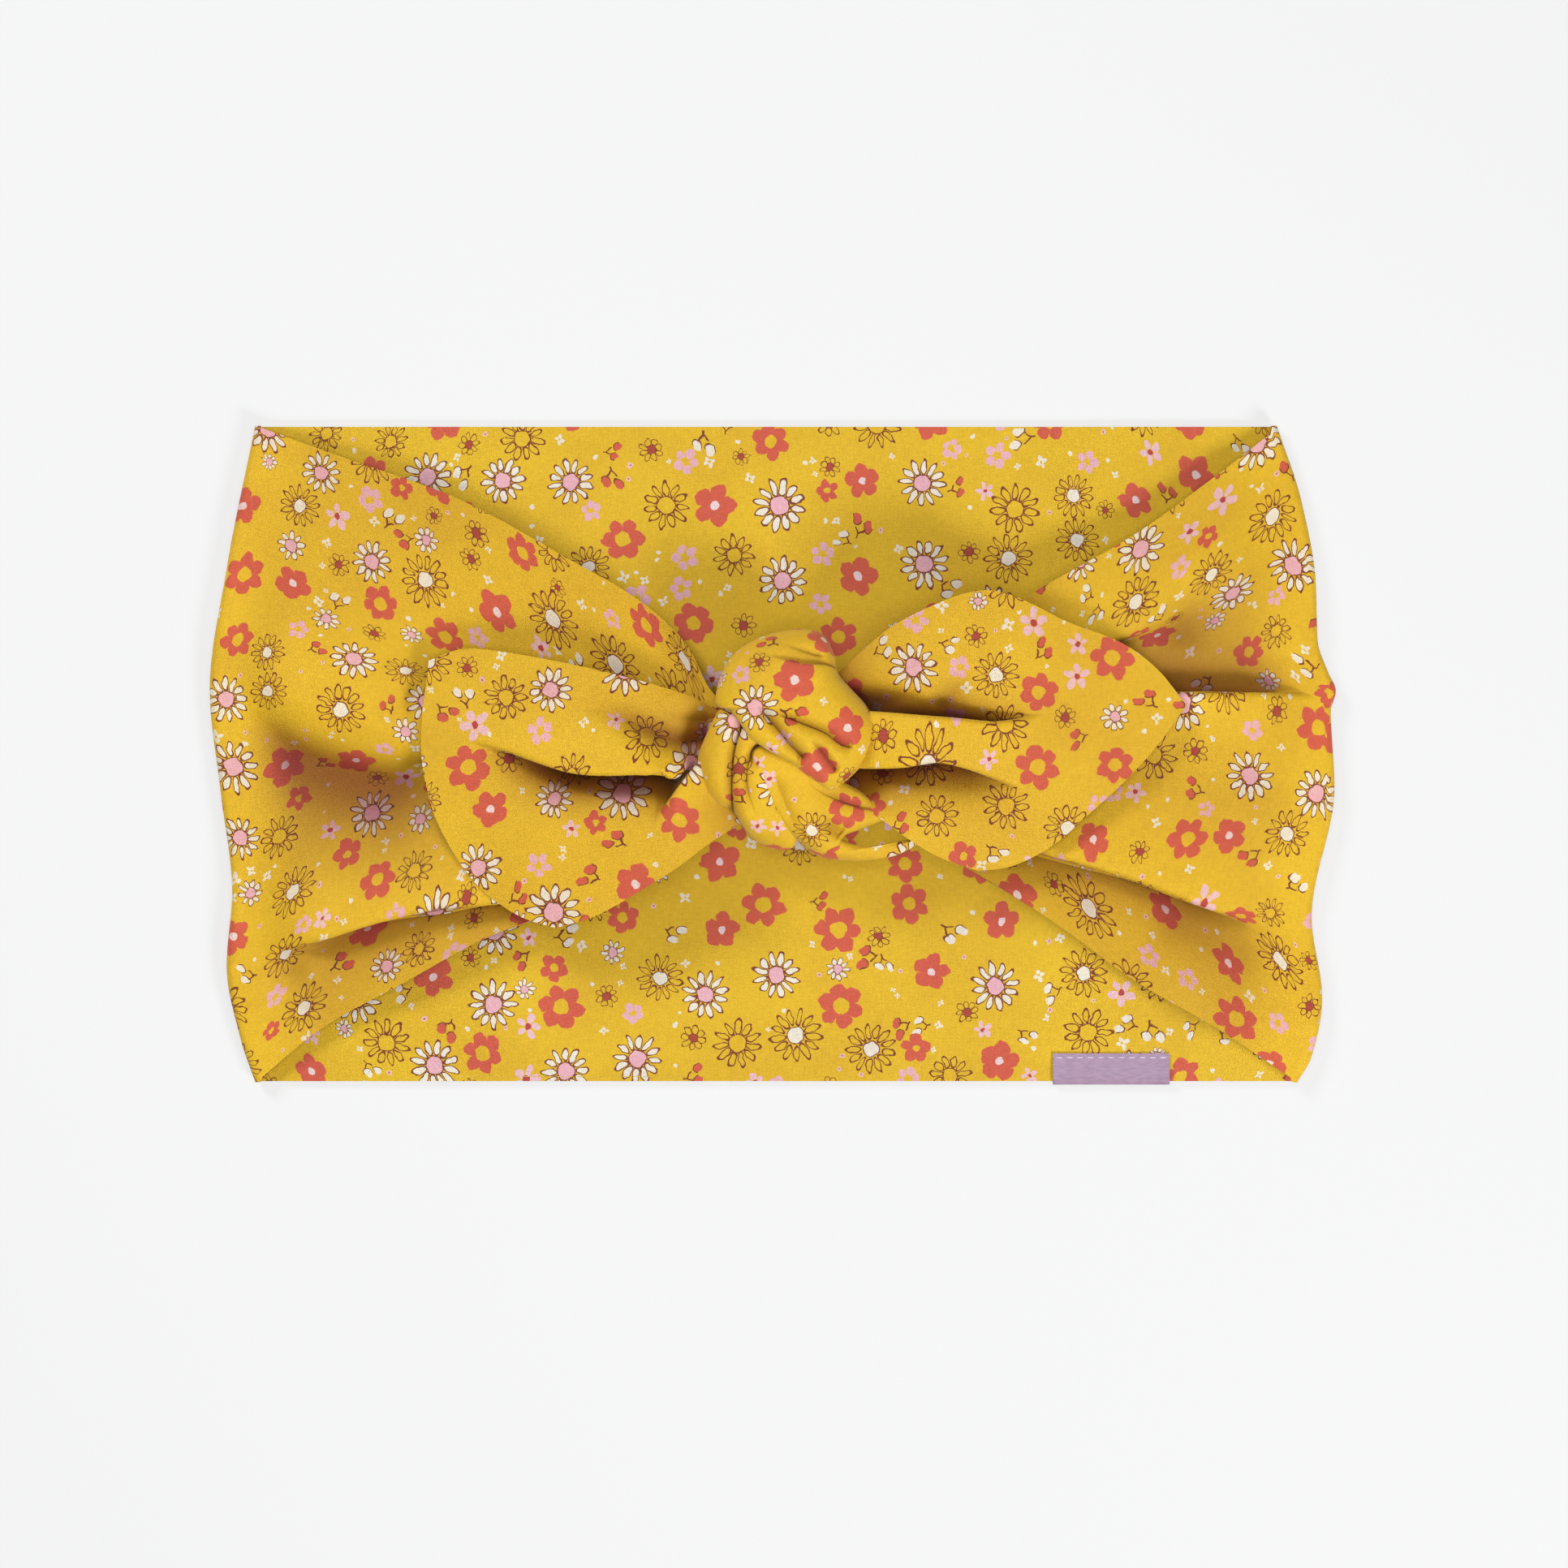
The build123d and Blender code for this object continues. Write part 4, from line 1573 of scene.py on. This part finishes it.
@dataclass
class Wrap:
    """One pass of the tie round the neck: a soft folded bundle with a shaped outline."""

    name: str
    node: str
    outline: tuple[tuple[float, float, float], ...]
    centre: Point2
    top: float
    bottom: float
    folds: tuple[Lap, ...]
    turn: float                    # the print's turn on it, in degrees
    seed: int
    tilt: Point2 = (0.0, 0.0)      # rise in height for each millimetre along X and Y
    tilt_power: float = 4.0        # how late the tilt gives way to the outline's own height
    fullness: float = 2.5          # how square its section is
    spokes: int = 300
    rings: int = 110
    under_rings: int = 26
    pole: float = 0.004            # the first and last ring's size, as a share of the outline
    swell: float = 0.45            # its own unevenness, and the wavelength
    swell_pitch: float = 13.0
    rim_start: float = 0.90        # the share of its rings past which its folds fade
    rim_height: float = 2.0        # how far above its outline its folds are full, in millimetres
    crease: float = 2.2            # painted shade in its creases, in millimetres for each millimetre they sink; more than broad folds get

    def rim(self) -> np.ndarray:
        """Gives the outline, a point for each spoke."""
        return smooth_path(self.outline, self.spokes, closed=True)

    def dome(self) -> np.ndarray:
        """Builds the closed form as rings, from the middle of the top to the middle of the bottom.

        Returns:
            Rings by spokes by three.
        """
        rim = self.rim()
        middle = np.array(self.centre)
        upper = np.sin(np.linspace(self.pole, 1, self.rings) * math.pi / 2)
        lower = np.sin(np.linspace(1, self.pole, self.under_rings + 1)[1:] * math.pi / 2)
        rings = []
        for reach, peak, tilt in ((upper, self.top, np.array(self.tilt)), (lower, self.bottom, np.zeros(2))):
            plan = middle + reach[:, None, None] * (rim[:, :2] - middle)[None]
            share = ((1 - reach**self.fullness) ** (1 / self.fullness))[:, None]
            level = rim[None, :, 2] * (1 - share) + peak * share
            slope = ((plan - middle) @ tilt) * (1 - reach[:, None] ** self.tilt_power)
            rings.append(np.dstack([plan, level + slope]))
        return np.concatenate(rings, axis=0)

    def build(self) -> bpy.types.Object:
        """Builds the wrap.

        Returns:
            The linked piece.
        """
        points = self.dome()
        shape = points.shape[:2]
        flat = points[:, :, :2].reshape(-1, 2)
        rise, slide = lay_folds(flat, self.folds)
        rim = self.rim()
        ring_fade = np.linspace(0, 1, self.rings) - self.rim_start
        above = np.zeros((len(points), 1))
        above[: self.rings, 0] = 1 - ease(ring_fade / (1 - self.rim_start))
        inside = above * ease((points[:, :, 2] - rim[None, :, 2]) / self.rim_height)
        steps = np.linalg.norm(np.diff(points, axis=0), axis=2)
        from_top = np.concatenate([np.zeros((1, self.spokes)), np.cumsum(steps, axis=0)])
        rise = rise.reshape(shape)
        swell = self.swell * ripple(flat, self.swell_pitch, self.seed).reshape(shape)
        points[:, :, 2] += (rise + swell) * inside
        points[:, :, :2] += slide.reshape(*shape, 2) * inside[:, :, None]
        spread = rim[:, :2] - np.array(self.centre)
        angle = np.arctan2(spread[:, 1], spread[:, 0])[None, :] + math.radians(self.turn)
        uv = np.dstack([from_top * np.cos(angle), from_top * np.sin(angle)]) + np.array(self.centre)
        # painted shade in the creases, where the folds sink
        return self.closed_mesh(points, uv * MM, fold_gloom(-self.crease * rise * inside))

    def closed_mesh(self, points: np.ndarray, uv: np.ndarray, gloom: np.ndarray) -> bpy.types.Object:
        """Joins the rings into a closed mesh, with a point at the middle of the top and bottom.

        Args:
            points: Rings by spokes by three, in millimetres.
            uv: Each point's place on the flat cloth, in metres.
            gloom: Each point's painted shade, from 0 to 1.

        Returns:
            The linked piece.
        """
        index, faces = ring_faces(*points.shape[:2])
        first, last = index.size, index.size + 1
        ahead = np.roll(index, -1, axis=1)
        faces += [[first, a, b] for a, b in zip(index[0], ahead[0])]
        faces += [[last, b, a] for a, b in zip(index[-1], ahead[-1])]
        ends = np.array([points[0].mean(axis=0), points[-1].mean(axis=0)])
        end_uv = np.array([uv[0].mean(axis=0), uv[-1].mean(axis=0)])
        return new_mesh_object(
            f"tie_{self.name}", np.vstack([points.reshape(-1, 3), ends]), faces,
            np.vstack([uv.reshape(-1, 2), end_uv]), len(faces), np.append(gloom.ravel(), [0.0, 0.0]),
        )

    def add(self, wardrobe: Wardrobe) -> None:
        """Builds the wrap, dresses it and rides it on the knot."""
        wardrobe.fit(self.build(), wardrobe.tie, self.node, "knot")


UPPER_WRAP = Wrap(
    name="knot_upper_wrap", node="knot_upper_wrap",
    outline=(
        (-12.6, 11.2, 15), (-11.6, 17.2, 13), (-8.6, 22.2, 12), (-3.6, 25.4, 12), (1.5, 26.9, 12),
        (6.4, 27.4, 12),
        (10.8, 26.2, 12), (13.0, 22.0, 13), (13.9, 17.9, 14), (17.0, 14.2, 14), (20.4, 10.4, 13),
        (22.0, 6.2, 13),
        (21.4, 1.8, 13), (19.2, -2.0, 14), (15.6, -5.6, 16), (12.2, -7.4, 17.6), (9.0, -5.6, 19.4),
        (6.7, -4.0, 20.2), (3.4, -1.4, 20.4), (-1.3, 1.1, 20.4), (-5.0, 3.7, 20.2), (-7.6, 7.3, 19.6),
        (-9.8, 9.8, 17.6),
    ),
    centre=(5.0, 10.0), top=25.2, bottom=7.0, tilt=(0.02, -0.02), fullness=2.7,
    folds=(
        Lap(line=((6.6, -1.6), (5.0, 0.2), (3.2, 2.0), (0.1, 5.8), (-4.2, 10.6)),
            over=-2.0, under=2.8, reach=(1.2, 1.5), lip=0.5, fades=(0.08, 0.25), edge=0.12),
        Lap(line=((17.4, 1.2), (14.4, 1.8), (10.7, 4.4), (5.3, 6.6), (-1.4, 9.4)),
            over=-1.6, under=2.6, reach=(1.2, 1.5), lip=0.5, fades=(0.08, 0.3), edge=0.12),
        Lap(line=((13.6, -4.2), (10.7, -0.4), (7.6, 3.8)),
            over=-1.4, under=2.4, reach=(1.2, 1.3), lip=0.3, fades=(0.12, 0.4), edge=0.15),
        Lap(line=((14.2, 18.2), (11.0, 19.2), (5.3, 19.6), (-3.8, 22.2)),
            over=-0.7, under=1.9, reach=(1.5, 1.8), lip=0.4, fades=(0.08, 0.5), edge=0.18),
        Lap(line=((11.6, 21.4), (8.5, 21.4), (1.4, 24.0)),
            over=-0.6, under=1.4, reach=(1.3, 1.4), lip=0.2, fades=(0.2, 0.5), edge=0.18),
    ),
    turn=35.0, seed=5,
)

LOWER_WRAP = Wrap(
    name="knot_lower_wrap", node="knot_lower_wrap",
    outline=(
        (-8.6, 11.8, 15), (-12.0, 9.6, 13), (-14.6, 4.8, 12), (-16.3, 0.6, 11), (-16.5, -3.0, 11),
        (-15.2, -7.4, 11), (-13.0, -10.2, 11), (-9.8, -11.8, 11), (-8.4, -12.8, 11), (-6.8, -15.6, 10),
        (-4.4, -18.4, 9), (-0.6, -20.2, 9), (3.4, -20.4, 10), (5.0, -18.0, 12), (3.4, -14.0, 14),
        (1.8, -8.0, 15),
        (1.2, -2.0, 16), (-0.6, 3.4, 16), (-3.6, 8.8, 16),
    ),
    centre=(-7.6, -3.0), top=20.6, bottom=6.0, tilt=(-0.06, -0.03), fullness=2.6,
    folds=(
        Lap(line=((-5.6, 8.0), (-7.6, 3.0), (-8.5, -2.0), (-8.7, -7.6), (-8.4, -13.4)),
            over=-1.5, under=2.4, reach=(1.3, 1.7), lip=0.4, fades=(0.1, 0.05), edge=0.15),
        Lap(line=((-3.2, 3.0), (-5.4, -3.0), (-5.0, -9.0), (-3.2, -14.6)),
            over=-1.0, under=1.7, reach=(1.2, 1.4), lip=0.3, fades=(0.1, 0.45), edge=0.18),
        groove(line=((-4.6, 2.2), (-2.6, 0.6), (-1.0, -0.6)),
               depth=4.6, reach=(1.8, 1.8), fades=(0.3, 0.3), edge=0.5),
    ),
    turn=80.0, seed=7,
)

CROSSING_STRAND = Wrap(
    name="knot_crossing_strand", node="knot_crossing_strand",
    outline=(
        (-4.4, 1.2, 16.4), (-4.0, -3.4, 17.4), (-2.1, -7.8, 17.4), (0.2, -12.4, 16.6), (3.1, -16.4, 15),
        (7.0, -19.8, 12.4), (11.0, -21.6, 11), (14.6, -20.4, 11), (15.2, -17.6, 12.4), (19.4, -15.8, 13.4),
        (24.8, -13.2, 14), (21.6, -10.2, 14), (18.6, -7.6, 14), (14.0, -5.0, 15), (8.0, 0.6, 15),
        (2.0, 3.2, 15),
    ),
    centre=(6.6, -10.0), top=20.2, bottom=8.0, tilt=(-0.08, 0.04), fullness=3.0,
    folds=(
        Lap(line=((6.0, -19.0), (3.6, -13.6), (1.0, -7.0), (-1.2, -1.6)),
            over=-0.6, under=1.2, reach=(1.6, 1.7), lip=0.3, fades=(0.4, 0.3), edge=0.18),
        Lap(line=((24.0, -12.6), (17.0, -11.2), (11.0, -8.6), (6.0, -5.0)),
            over=-1.0, under=1.9, reach=(1.8, 1.8), lip=0.3, fades=(0.1, 0.5), edge=0.2),
        groove(line=((14.8, -17.4), (11.6, -15.2), (8.4, -13.8)),
               depth=1.6, reach=(1.8, 1.8), fades=(0.1, 0.6), edge=0.4),
    ),
    turn=-50.0, seed=9,
)

POCKET_LIP = Wrap(
    name="knot_crossing_lip", node="knot_crossing_strand",
    outline=(
        (5.0, -17.6, 12), (7.4, -20.6, 11), (11.2, -22.4, 10), (16.6, -22.9, 10), (21.6, -22.7, 10),
        (26.4, -21.8, 10), (30.2, -20.0, 10), (33.4, -17.6, 10), (29.4, -18.9, 12), (25.0, -19.8, 13),
        (20.4, -19.9, 13.4), (16.0, -18.8, 13.4), (12.6, -16.4, 13), (9.0, -15.0, 13),
    ),
    centre=(16.0, -20.8), top=16.0, bottom=6.4, tilt=(-0.20, 0.0),
    folds=(), fullness=2.2, turn=-20.0, seed=15,
)


@dataclass(frozen=True)
class Knot:
    """The knot: three passes of the tie, in four pieces, round the gathered neck."""

    wraps = (UPPER_WRAP, LOWER_WRAP, CROSSING_STRAND, POCKET_LIP)

    pleats: int = 13               # of the neck
    pleat_depth: float = 0.10      # as a share of the neck's size
    waist_depth: float = 0.08      # how far the thread pulls it in, as a share of its size
    waist_reach: float = 2.2
    end_power: float = 14.0        # how squarely its ends close
    end_size: float = 0.0004       # the square of its size at the very ends, as a share
    rings: int = 40
    spokes: int = 208

    def build(self, wardrobe: Wardrobe) -> None:
        """Builds every piece of the knot.

        Args:
            wardrobe: The finishes.
        """
        for wrap in self.wraps:
            wrap.add(wardrobe)
        self.add_neck(wardrobe)

    def add_neck(self, wardrobe: Wardrobe) -> None:
        """Adds the pleated neck of the band, inside the knot.

        Args:
            wardrobe: The finishes.
        """
        low, high = node_box("gathered_neck")
        middle, half = (low + high) / 2, (high - low) / 2
        angle = np.linspace(0, 2 * math.pi, self.spokes, endpoint=False)
        x = np.linspace(low[0], high[0], self.rings)
        from_waist = x - middle[0]
        groove_share = 1 - self.pleat_depth * (0.5 + 0.5 * np.cos(self.pleats * angle)) ** 2
        waist = 1 - self.waist_depth * np.exp(-((from_waist / self.waist_reach) ** 2))
        closing = np.sqrt(np.clip(1 - (np.abs(from_waist) / half[0]) ** self.end_power, self.end_size, 1))
        size = (waist * closing)[:, None] * groove_share[None, :]
        y = middle[1] + half[1] * size * np.cos(angle)
        z = middle[2] + half[2] * size * np.sin(angle)
        points = np.dstack([np.repeat(x[:, None], self.spokes, axis=1), y, z])
        uv = np.dstack([points[:, :, 0], np.repeat(angle[None, :] * half[1], self.rings, axis=0)]) * MM
        index, walls = ring_faces(self.rings, self.spokes)
        faces = [face[::-1] for face in walls] + [index[0].tolist(), index[-1][::-1].tolist()]
        piece = new_mesh_object(
            "band_gathered_neck", points.reshape(-1, 3), faces, uv.reshape(-1, 2), len(walls)
        )
        wardrobe.fit(piece, wardrobe.outer, "gathered_neck", "knot")


# ---- Stitches and the label ----


@dataclass
class StitchRow:
    """A row of stitches along a path, made by Geometry Nodes."""

    name: str
    node: str
    body: str
    path: np.ndarray               # points in millimetres
    count: int
    length: float                  # of one stitch
    thickness: float
    finish: Thread
    closed: bool = False
    sides: int = 6                 # of one stitch, and its rings
    rings: int = 5

    inputs = (
        ("Geometry", "NodeSocketGeometry"), ("Stitches", "NodeSocketInt"),
        ("Stitch length", "NodeSocketFloat"), ("Thread thickness", "NodeSocketFloat"),
    )

    def tree(self, material: bpy.types.Material) -> bpy.types.NodeTree:
        """Writes the tree: stitches instanced along the path, made real, with their finish.

        Args:
            material: The finish's material.

        Returns:
            The tree.
        """
        tree = bpy.data.node_groups.new(f"{self.name}_stitching", "GeometryNodeTree")
        tree.interface.new_socket("Geometry", in_out="OUTPUT", socket_type="NodeSocketGeometry")
        for name, kind in self.inputs:
            tree.interface.new_socket(name, in_out="INPUT", socket_type=kind)
        graph = Graph(tree)
        given = graph.add("NodeGroupInput").outputs
        spread = graph.add("GeometryNodeResampleCurve", mode="COUNT")
        graph.feed(spread, {"Curve": given["Geometry"], "Count": given["Stitches"]})
        stitch = graph.add("GeometryNodeMeshUVSphere")
        graph.feed(stitch, {"Segments": self.sides, "Rings": self.rings, "Radius": 0.5})
        aim = graph.add("FunctionNodeAlignRotationToVector", axis="X")
        graph.feed(aim, {"Vector": graph.add("GeometryNodeInputTangent").outputs[0]})
        thickness = given["Thread thickness"]
        copies = graph.feed(graph.add("GeometryNodeInstanceOnPoints"), {
            "Points": spread.outputs["Curve"],
            "Instance": stitch.outputs["Mesh"],
            "Rotation": aim.outputs[0],
            "Scale": graph.join(given["Stitch length"], thickness, thickness),
        })
        real = graph.feed(graph.add("GeometryNodeRealizeInstances"), {0: copies.outputs[0]})
        paint = graph.add("GeometryNodeSetMaterial")
        graph.feed(paint, {"Material": material, "Geometry": real.outputs[0]})
        graph.feed(graph.add("NodeGroupOutput"), {0: paint.outputs[0]})
        return tree

    def add(self, wardrobe: Wardrobe) -> None:
        """Builds the row as a plain mesh, dresses it and rides it.

        Args:
            wardrobe: The finishes.
        """
        curve = bpy.data.curves.new(f"{self.name}_path", "CURVE")
        curve.dimensions = "3D"
        spline = curve.splines.new("POLY")
        spline.points.add(len(self.path) - 1)
        for point, place in zip(spline.points, self.path):
            point.co = (*(place * MM), 1.0)
        spline.use_cyclic_u = self.closed
        source = link(bpy.data.objects.new(f"{self.name}_path", curve))
        tree = self.tree(wardrobe.material(self.finish))
        modifier = source.modifiers.new("stitching", "NODES")
        modifier.node_group = tree
        values = {
            "Stitches": self.count,
            "Stitch length": self.length * MM,
            "Thread thickness": self.thickness * MM,
        }
        for item in tree.interface.items_tree:
            if item.in_out == "INPUT" and item.name in values:
                modifier[item.identifier] = values[item.name]
        bpy.context.view_layer.update()
        evaluated = source.evaluated_get(bpy.context.evaluated_depsgraph_get())
        piece = link(bpy.data.objects.new(self.name, bpy.data.meshes.new_from_object(evaluated)))
        bpy.data.objects.remove(source)
        wardrobe.fit(piece, self.finish, self.node, self.body)


@dataclass(frozen=True)
class Label:
    """The plain ribbon label, folded over the band's lower edge, and its stitches."""

    thickness: float = 0.22
    columns: int = 72
    leg_rows: int = 25
    turn_rows: int = 22
    bow: float = 0.22              # how far the shown leg bows up
    bow_place: float = 4.6         # how far from its upper end it bows most, and how far the bow runs
    bow_reach: float = 2.4
    corner_lift: float = 0.5       # how much more its right end lifts, and how far in
    corner_reach: float = 2.2
    waves: tuple[tuple[float, float, float], ...] = ((0.10, 3.1, 0.0),
    (0.05, 1.3, 1.0))  # height, pitch, start
    lift_clear: float = 0.3        # what lies within this of the lower leg stays put
    stitch_inset: float = 0.8      # the row's end stitches, from the ends of the frame's
    stitch_rise: float = 0.02
    least_flat: float = 0.0101     # metres

    def build(self, wardrobe: Wardrobe) -> None:
        """Builds the ribbon and its stitches.

        Args:
            wardrobe: The finishes.
        """
        low, high = node_box("label")
        self.add_ribbon(wardrobe, low, high)
        stitch_low, stitch_high = node_box("label_stitches")
        stitch_y, stitch_z = (stitch_low[1] + stitch_high[1]) / 2, high[2] + self.stitch_rise
        path = np.array([
            (stitch_low[0] + self.stitch_inset, stitch_y, stitch_z),
            (stitch_high[0] - self.stitch_inset, stitch_y, stitch_z),
        ])
        StitchRow(
            "label_stitching", "label_stitches", "back_right", path, count=11, length=1.65, thickness=0.34,
            finish=wardrobe.label_thread,
        ).add(wardrobe)

    def section(self, low: np.ndarray, high: np.ndarray) -> tuple[np.ndarray, np.ndarray]:
        """Gives the folded ribbon's section, from the shown leg's end.

        Args:
            low: The frame label's lowest corner.
            high: Its highest corner.

        Returns:
            The Y and the height of each row.
        """
        top, bottom = high[2] - self.thickness / 2, low[2] + self.thickness / 2
        radius = (top - bottom) / 2
        turn_y = low[1] + radius + self.thickness / 2
        angle = np.linspace(math.pi / 2, 1.5 * math.pi, self.turn_rows)
        leg = np.linspace(high[1], turn_y, self.leg_rows + 1)
        y = np.concatenate([leg[:-1], turn_y + radius * np.cos(angle), leg[::-1][1:]])
        turn_z = (top + bottom) / 2 + radius * np.sin(angle)
        return y, np.concatenate([np.full(self.leg_rows, top), turn_z, np.full(self.leg_rows, bottom)])

    def add_ribbon(self, wardrobe: Wardrobe, low: np.ndarray, high: np.ndarray) -> None:
        """Adds the ribbon.

        Args:
            wardrobe: The finishes.
            low: The frame label's lowest corner.
            high: Its highest corner.
        """
        y, z = self.section(low, high)
        x = np.linspace(low[0], high[0], self.columns)
        length = np.concatenate([[0], np.cumsum(np.hypot(np.diff(y), np.diff(z)))])
        shown = np.where(z > low[2] + self.thickness / 2 + self.lift_clear, 1.0, 0.0)
        bowed = (shown * np.exp(-(((length - self.bow_place) / self.bow_reach) ** 2)))[:, None]
        wave = sum(height * np.sin(x / pitch + start) for height, pitch, start in self.waves)
        corner = self.corner_lift * np.exp(-(((x - high[0]) / self.corner_reach) ** 2))
        grid_x = np.repeat(x[None, :], len(y), axis=0)
        grid_y = np.repeat(y[:, None], self.columns, axis=1)
        points = np.dstack([grid_x, grid_y, z[:, None] + bowed * (self.bow + wave + corner)[None, :]])
        uv = np.dstack([grid_x, np.repeat(length[:, None], self.columns, axis=1)]) * MM
        piece = thin_sheet("label_ribbon", points, uv, -1, thickness=self.thickness)
        wardrobe.fit(piece, wardrobe.label, "label", "back_right")


@dataclass(frozen=True)
class Seams:
    """The line of thread that closes the band's lower edge, and the thread round the neck."""

    rise: float = 0.03             # how far the closing thread's middle lies over the cloth
    inset: float = 1.0             # its end stitches, from the ends of the frame's
    neck_points: int = 48

    def build(self, wardrobe: Wardrobe) -> None:
        """Builds both rows.

        Args:
            wardrobe: The finishes.
        """
        low, high = node_box("closing_stitches")
        y, z = (low[1] + high[1]) / 2, BACK_MIDDLE_Z + PLY_OFFSET + PLY / 2 + self.rise
        path = np.array([(x, y, z) for x in (low[0] + self.inset, -BACK_CUT_X, high[0] - self.inset)])
        StitchRow(
            "closing_seam", "closing_stitches", "back_left", path, count=22, length=1.9, thickness=0.16,
            finish=wardrobe.seam,
        ).add(wardrobe)
        low, high = node_box("neck_stitches")
        middle, half = (low + high) / 2, (high - low) / 2
        angle = np.linspace(0, 2 * math.pi, self.neck_points, endpoint=False)
        ring = np.column_stack([
            np.full(self.neck_points, middle[0]), middle[1] + half[1] * np.cos(angle),
            middle[2] + half[2] * np.sin(angle),
        ])
        StitchRow(
            "neck_stitching", "neck_stitches", "knot", ring, count=24, length=1.8, thickness=0.4,
            finish=wardrobe.seam, closed=True,
        ).add(wardrobe)


# ---- The studio ----


@dataclass(frozen=True)
class Softbox:
    """A square soft light that looks at the origin, in metres and watts."""

    name: str
    place: tuple[float, float, float]
    size: float
    power: float


@dataclass(frozen=True)
class Studio:
    """A pale floor, soft lights at two opposite corners and overhead, and a camera straight above."""

    view_width: float = 345.0      # of floor across the camera's view
    centre: Point2 = (2.2, -6.2)   # of the view, on the floor
    lens: float = 100.0
    sensor: float = 36.0
    floor_reach: float = 3.0       # metres
    floor_drop: float = 0.3        # how far it lies below the band
    floor_colour: Colour = (0.20, 0.202, 0.207)
    floor_glow: float = 0.635      # keeps the floor pale and even
    sky_colour: Colour = (1.0, 0.94, 0.86)
    sky_strength: float = 0.16
    softboxes: tuple[Softbox, ...] = (
        Softbox("softbox_upper_left", (-0.80, 0.85, 0.80), 0.40, 14.0),
        Softbox("softbox_lower_right", (0.75, -0.85, 0.72), 0.36, 16.0),
        Softbox("softbox_overhead", (0.0, 0.0, 0.62), 0.35, 1.9),
    )

    def build(self) -> None:
        """Builds the floor, the lights and the camera."""
        self.floor()
        self.lights()
        self.camera()

    def floor(self) -> None:
        """Adds the pale floor."""
        mesh = bpy.data.meshes.new("studio_floor")
        reach, z = self.floor_reach, -self.floor_drop * MM
        corners = [(-reach, -reach, z), (reach, -reach, z), (reach, reach, z), (-reach, reach, z)]
        mesh.from_pydata(corners, [], [(0, 1, 2, 3)])
        material, graph, shader = new_material("pale_paper")
        graph.feed(shader, {
            "Base Color": (*self.floor_colour, 1.0),
            "Roughness": 0.9,
            "Specular IOR Level": 0.0,
            "Emission Color": (1.0, 1.0, 1.0, 1.0),
            "Emission Strength": self.floor_glow,
        })
        mesh.materials.append(material)
        link(bpy.data.objects.new("studio_floor", mesh))

    def lights(self) -> None:
        """Adds the soft lights, and an even sky."""
        world = bpy.data.worlds.new("studio_sky")
        world.use_nodes = True
        sky = {"Color": (*self.sky_colour, 1.0), "Strength": self.sky_strength}
        Graph(world.node_tree).feed(world.node_tree.nodes["Background"], sky)
        bpy.context.scene.world = world
        for box in self.softboxes:
            light = bpy.data.lights.new(box.name, "AREA")
            light.shape, light.size, light.energy = "SQUARE", box.size, box.power
            lamp = link(bpy.data.objects.new(box.name, light))
            lamp.location = box.place
            lamp.rotation_euler = (-Vector(box.place)).to_track_quat("-Z", "Y").to_euler()

    def camera(self) -> None:
        """Adds the camera, straight above."""
        data = bpy.data.cameras.new("camera")
        data.lens, data.sensor_width = self.lens, self.sensor
        camera = link(bpy.data.objects.new("camera", data))
        distance = self.view_width * self.lens / self.sensor
        camera.location = (self.centre[0] * MM, self.centre[1] * MM, distance * MM)
        bpy.context.scene.camera = camera
        bpy.context.scene.view_settings.view_transform = "Standard"


def main() -> None:
    """Builds the studio and the whole headband."""
    logging.basicConfig(level=logging.INFO, format="%(name)s: %(message)s")
    wardrobe = Wardrobe()
    Studio().build()
    Band().build(wardrobe)
    for tail in (LEFT_TAIL, RIGHT_TAIL):
        tail.add(wardrobe)
    Knot().build(wardrobe)
    Label().build(wardrobe)
    Seams().build(wardrobe)


if __name__ == "__main__":
    main()
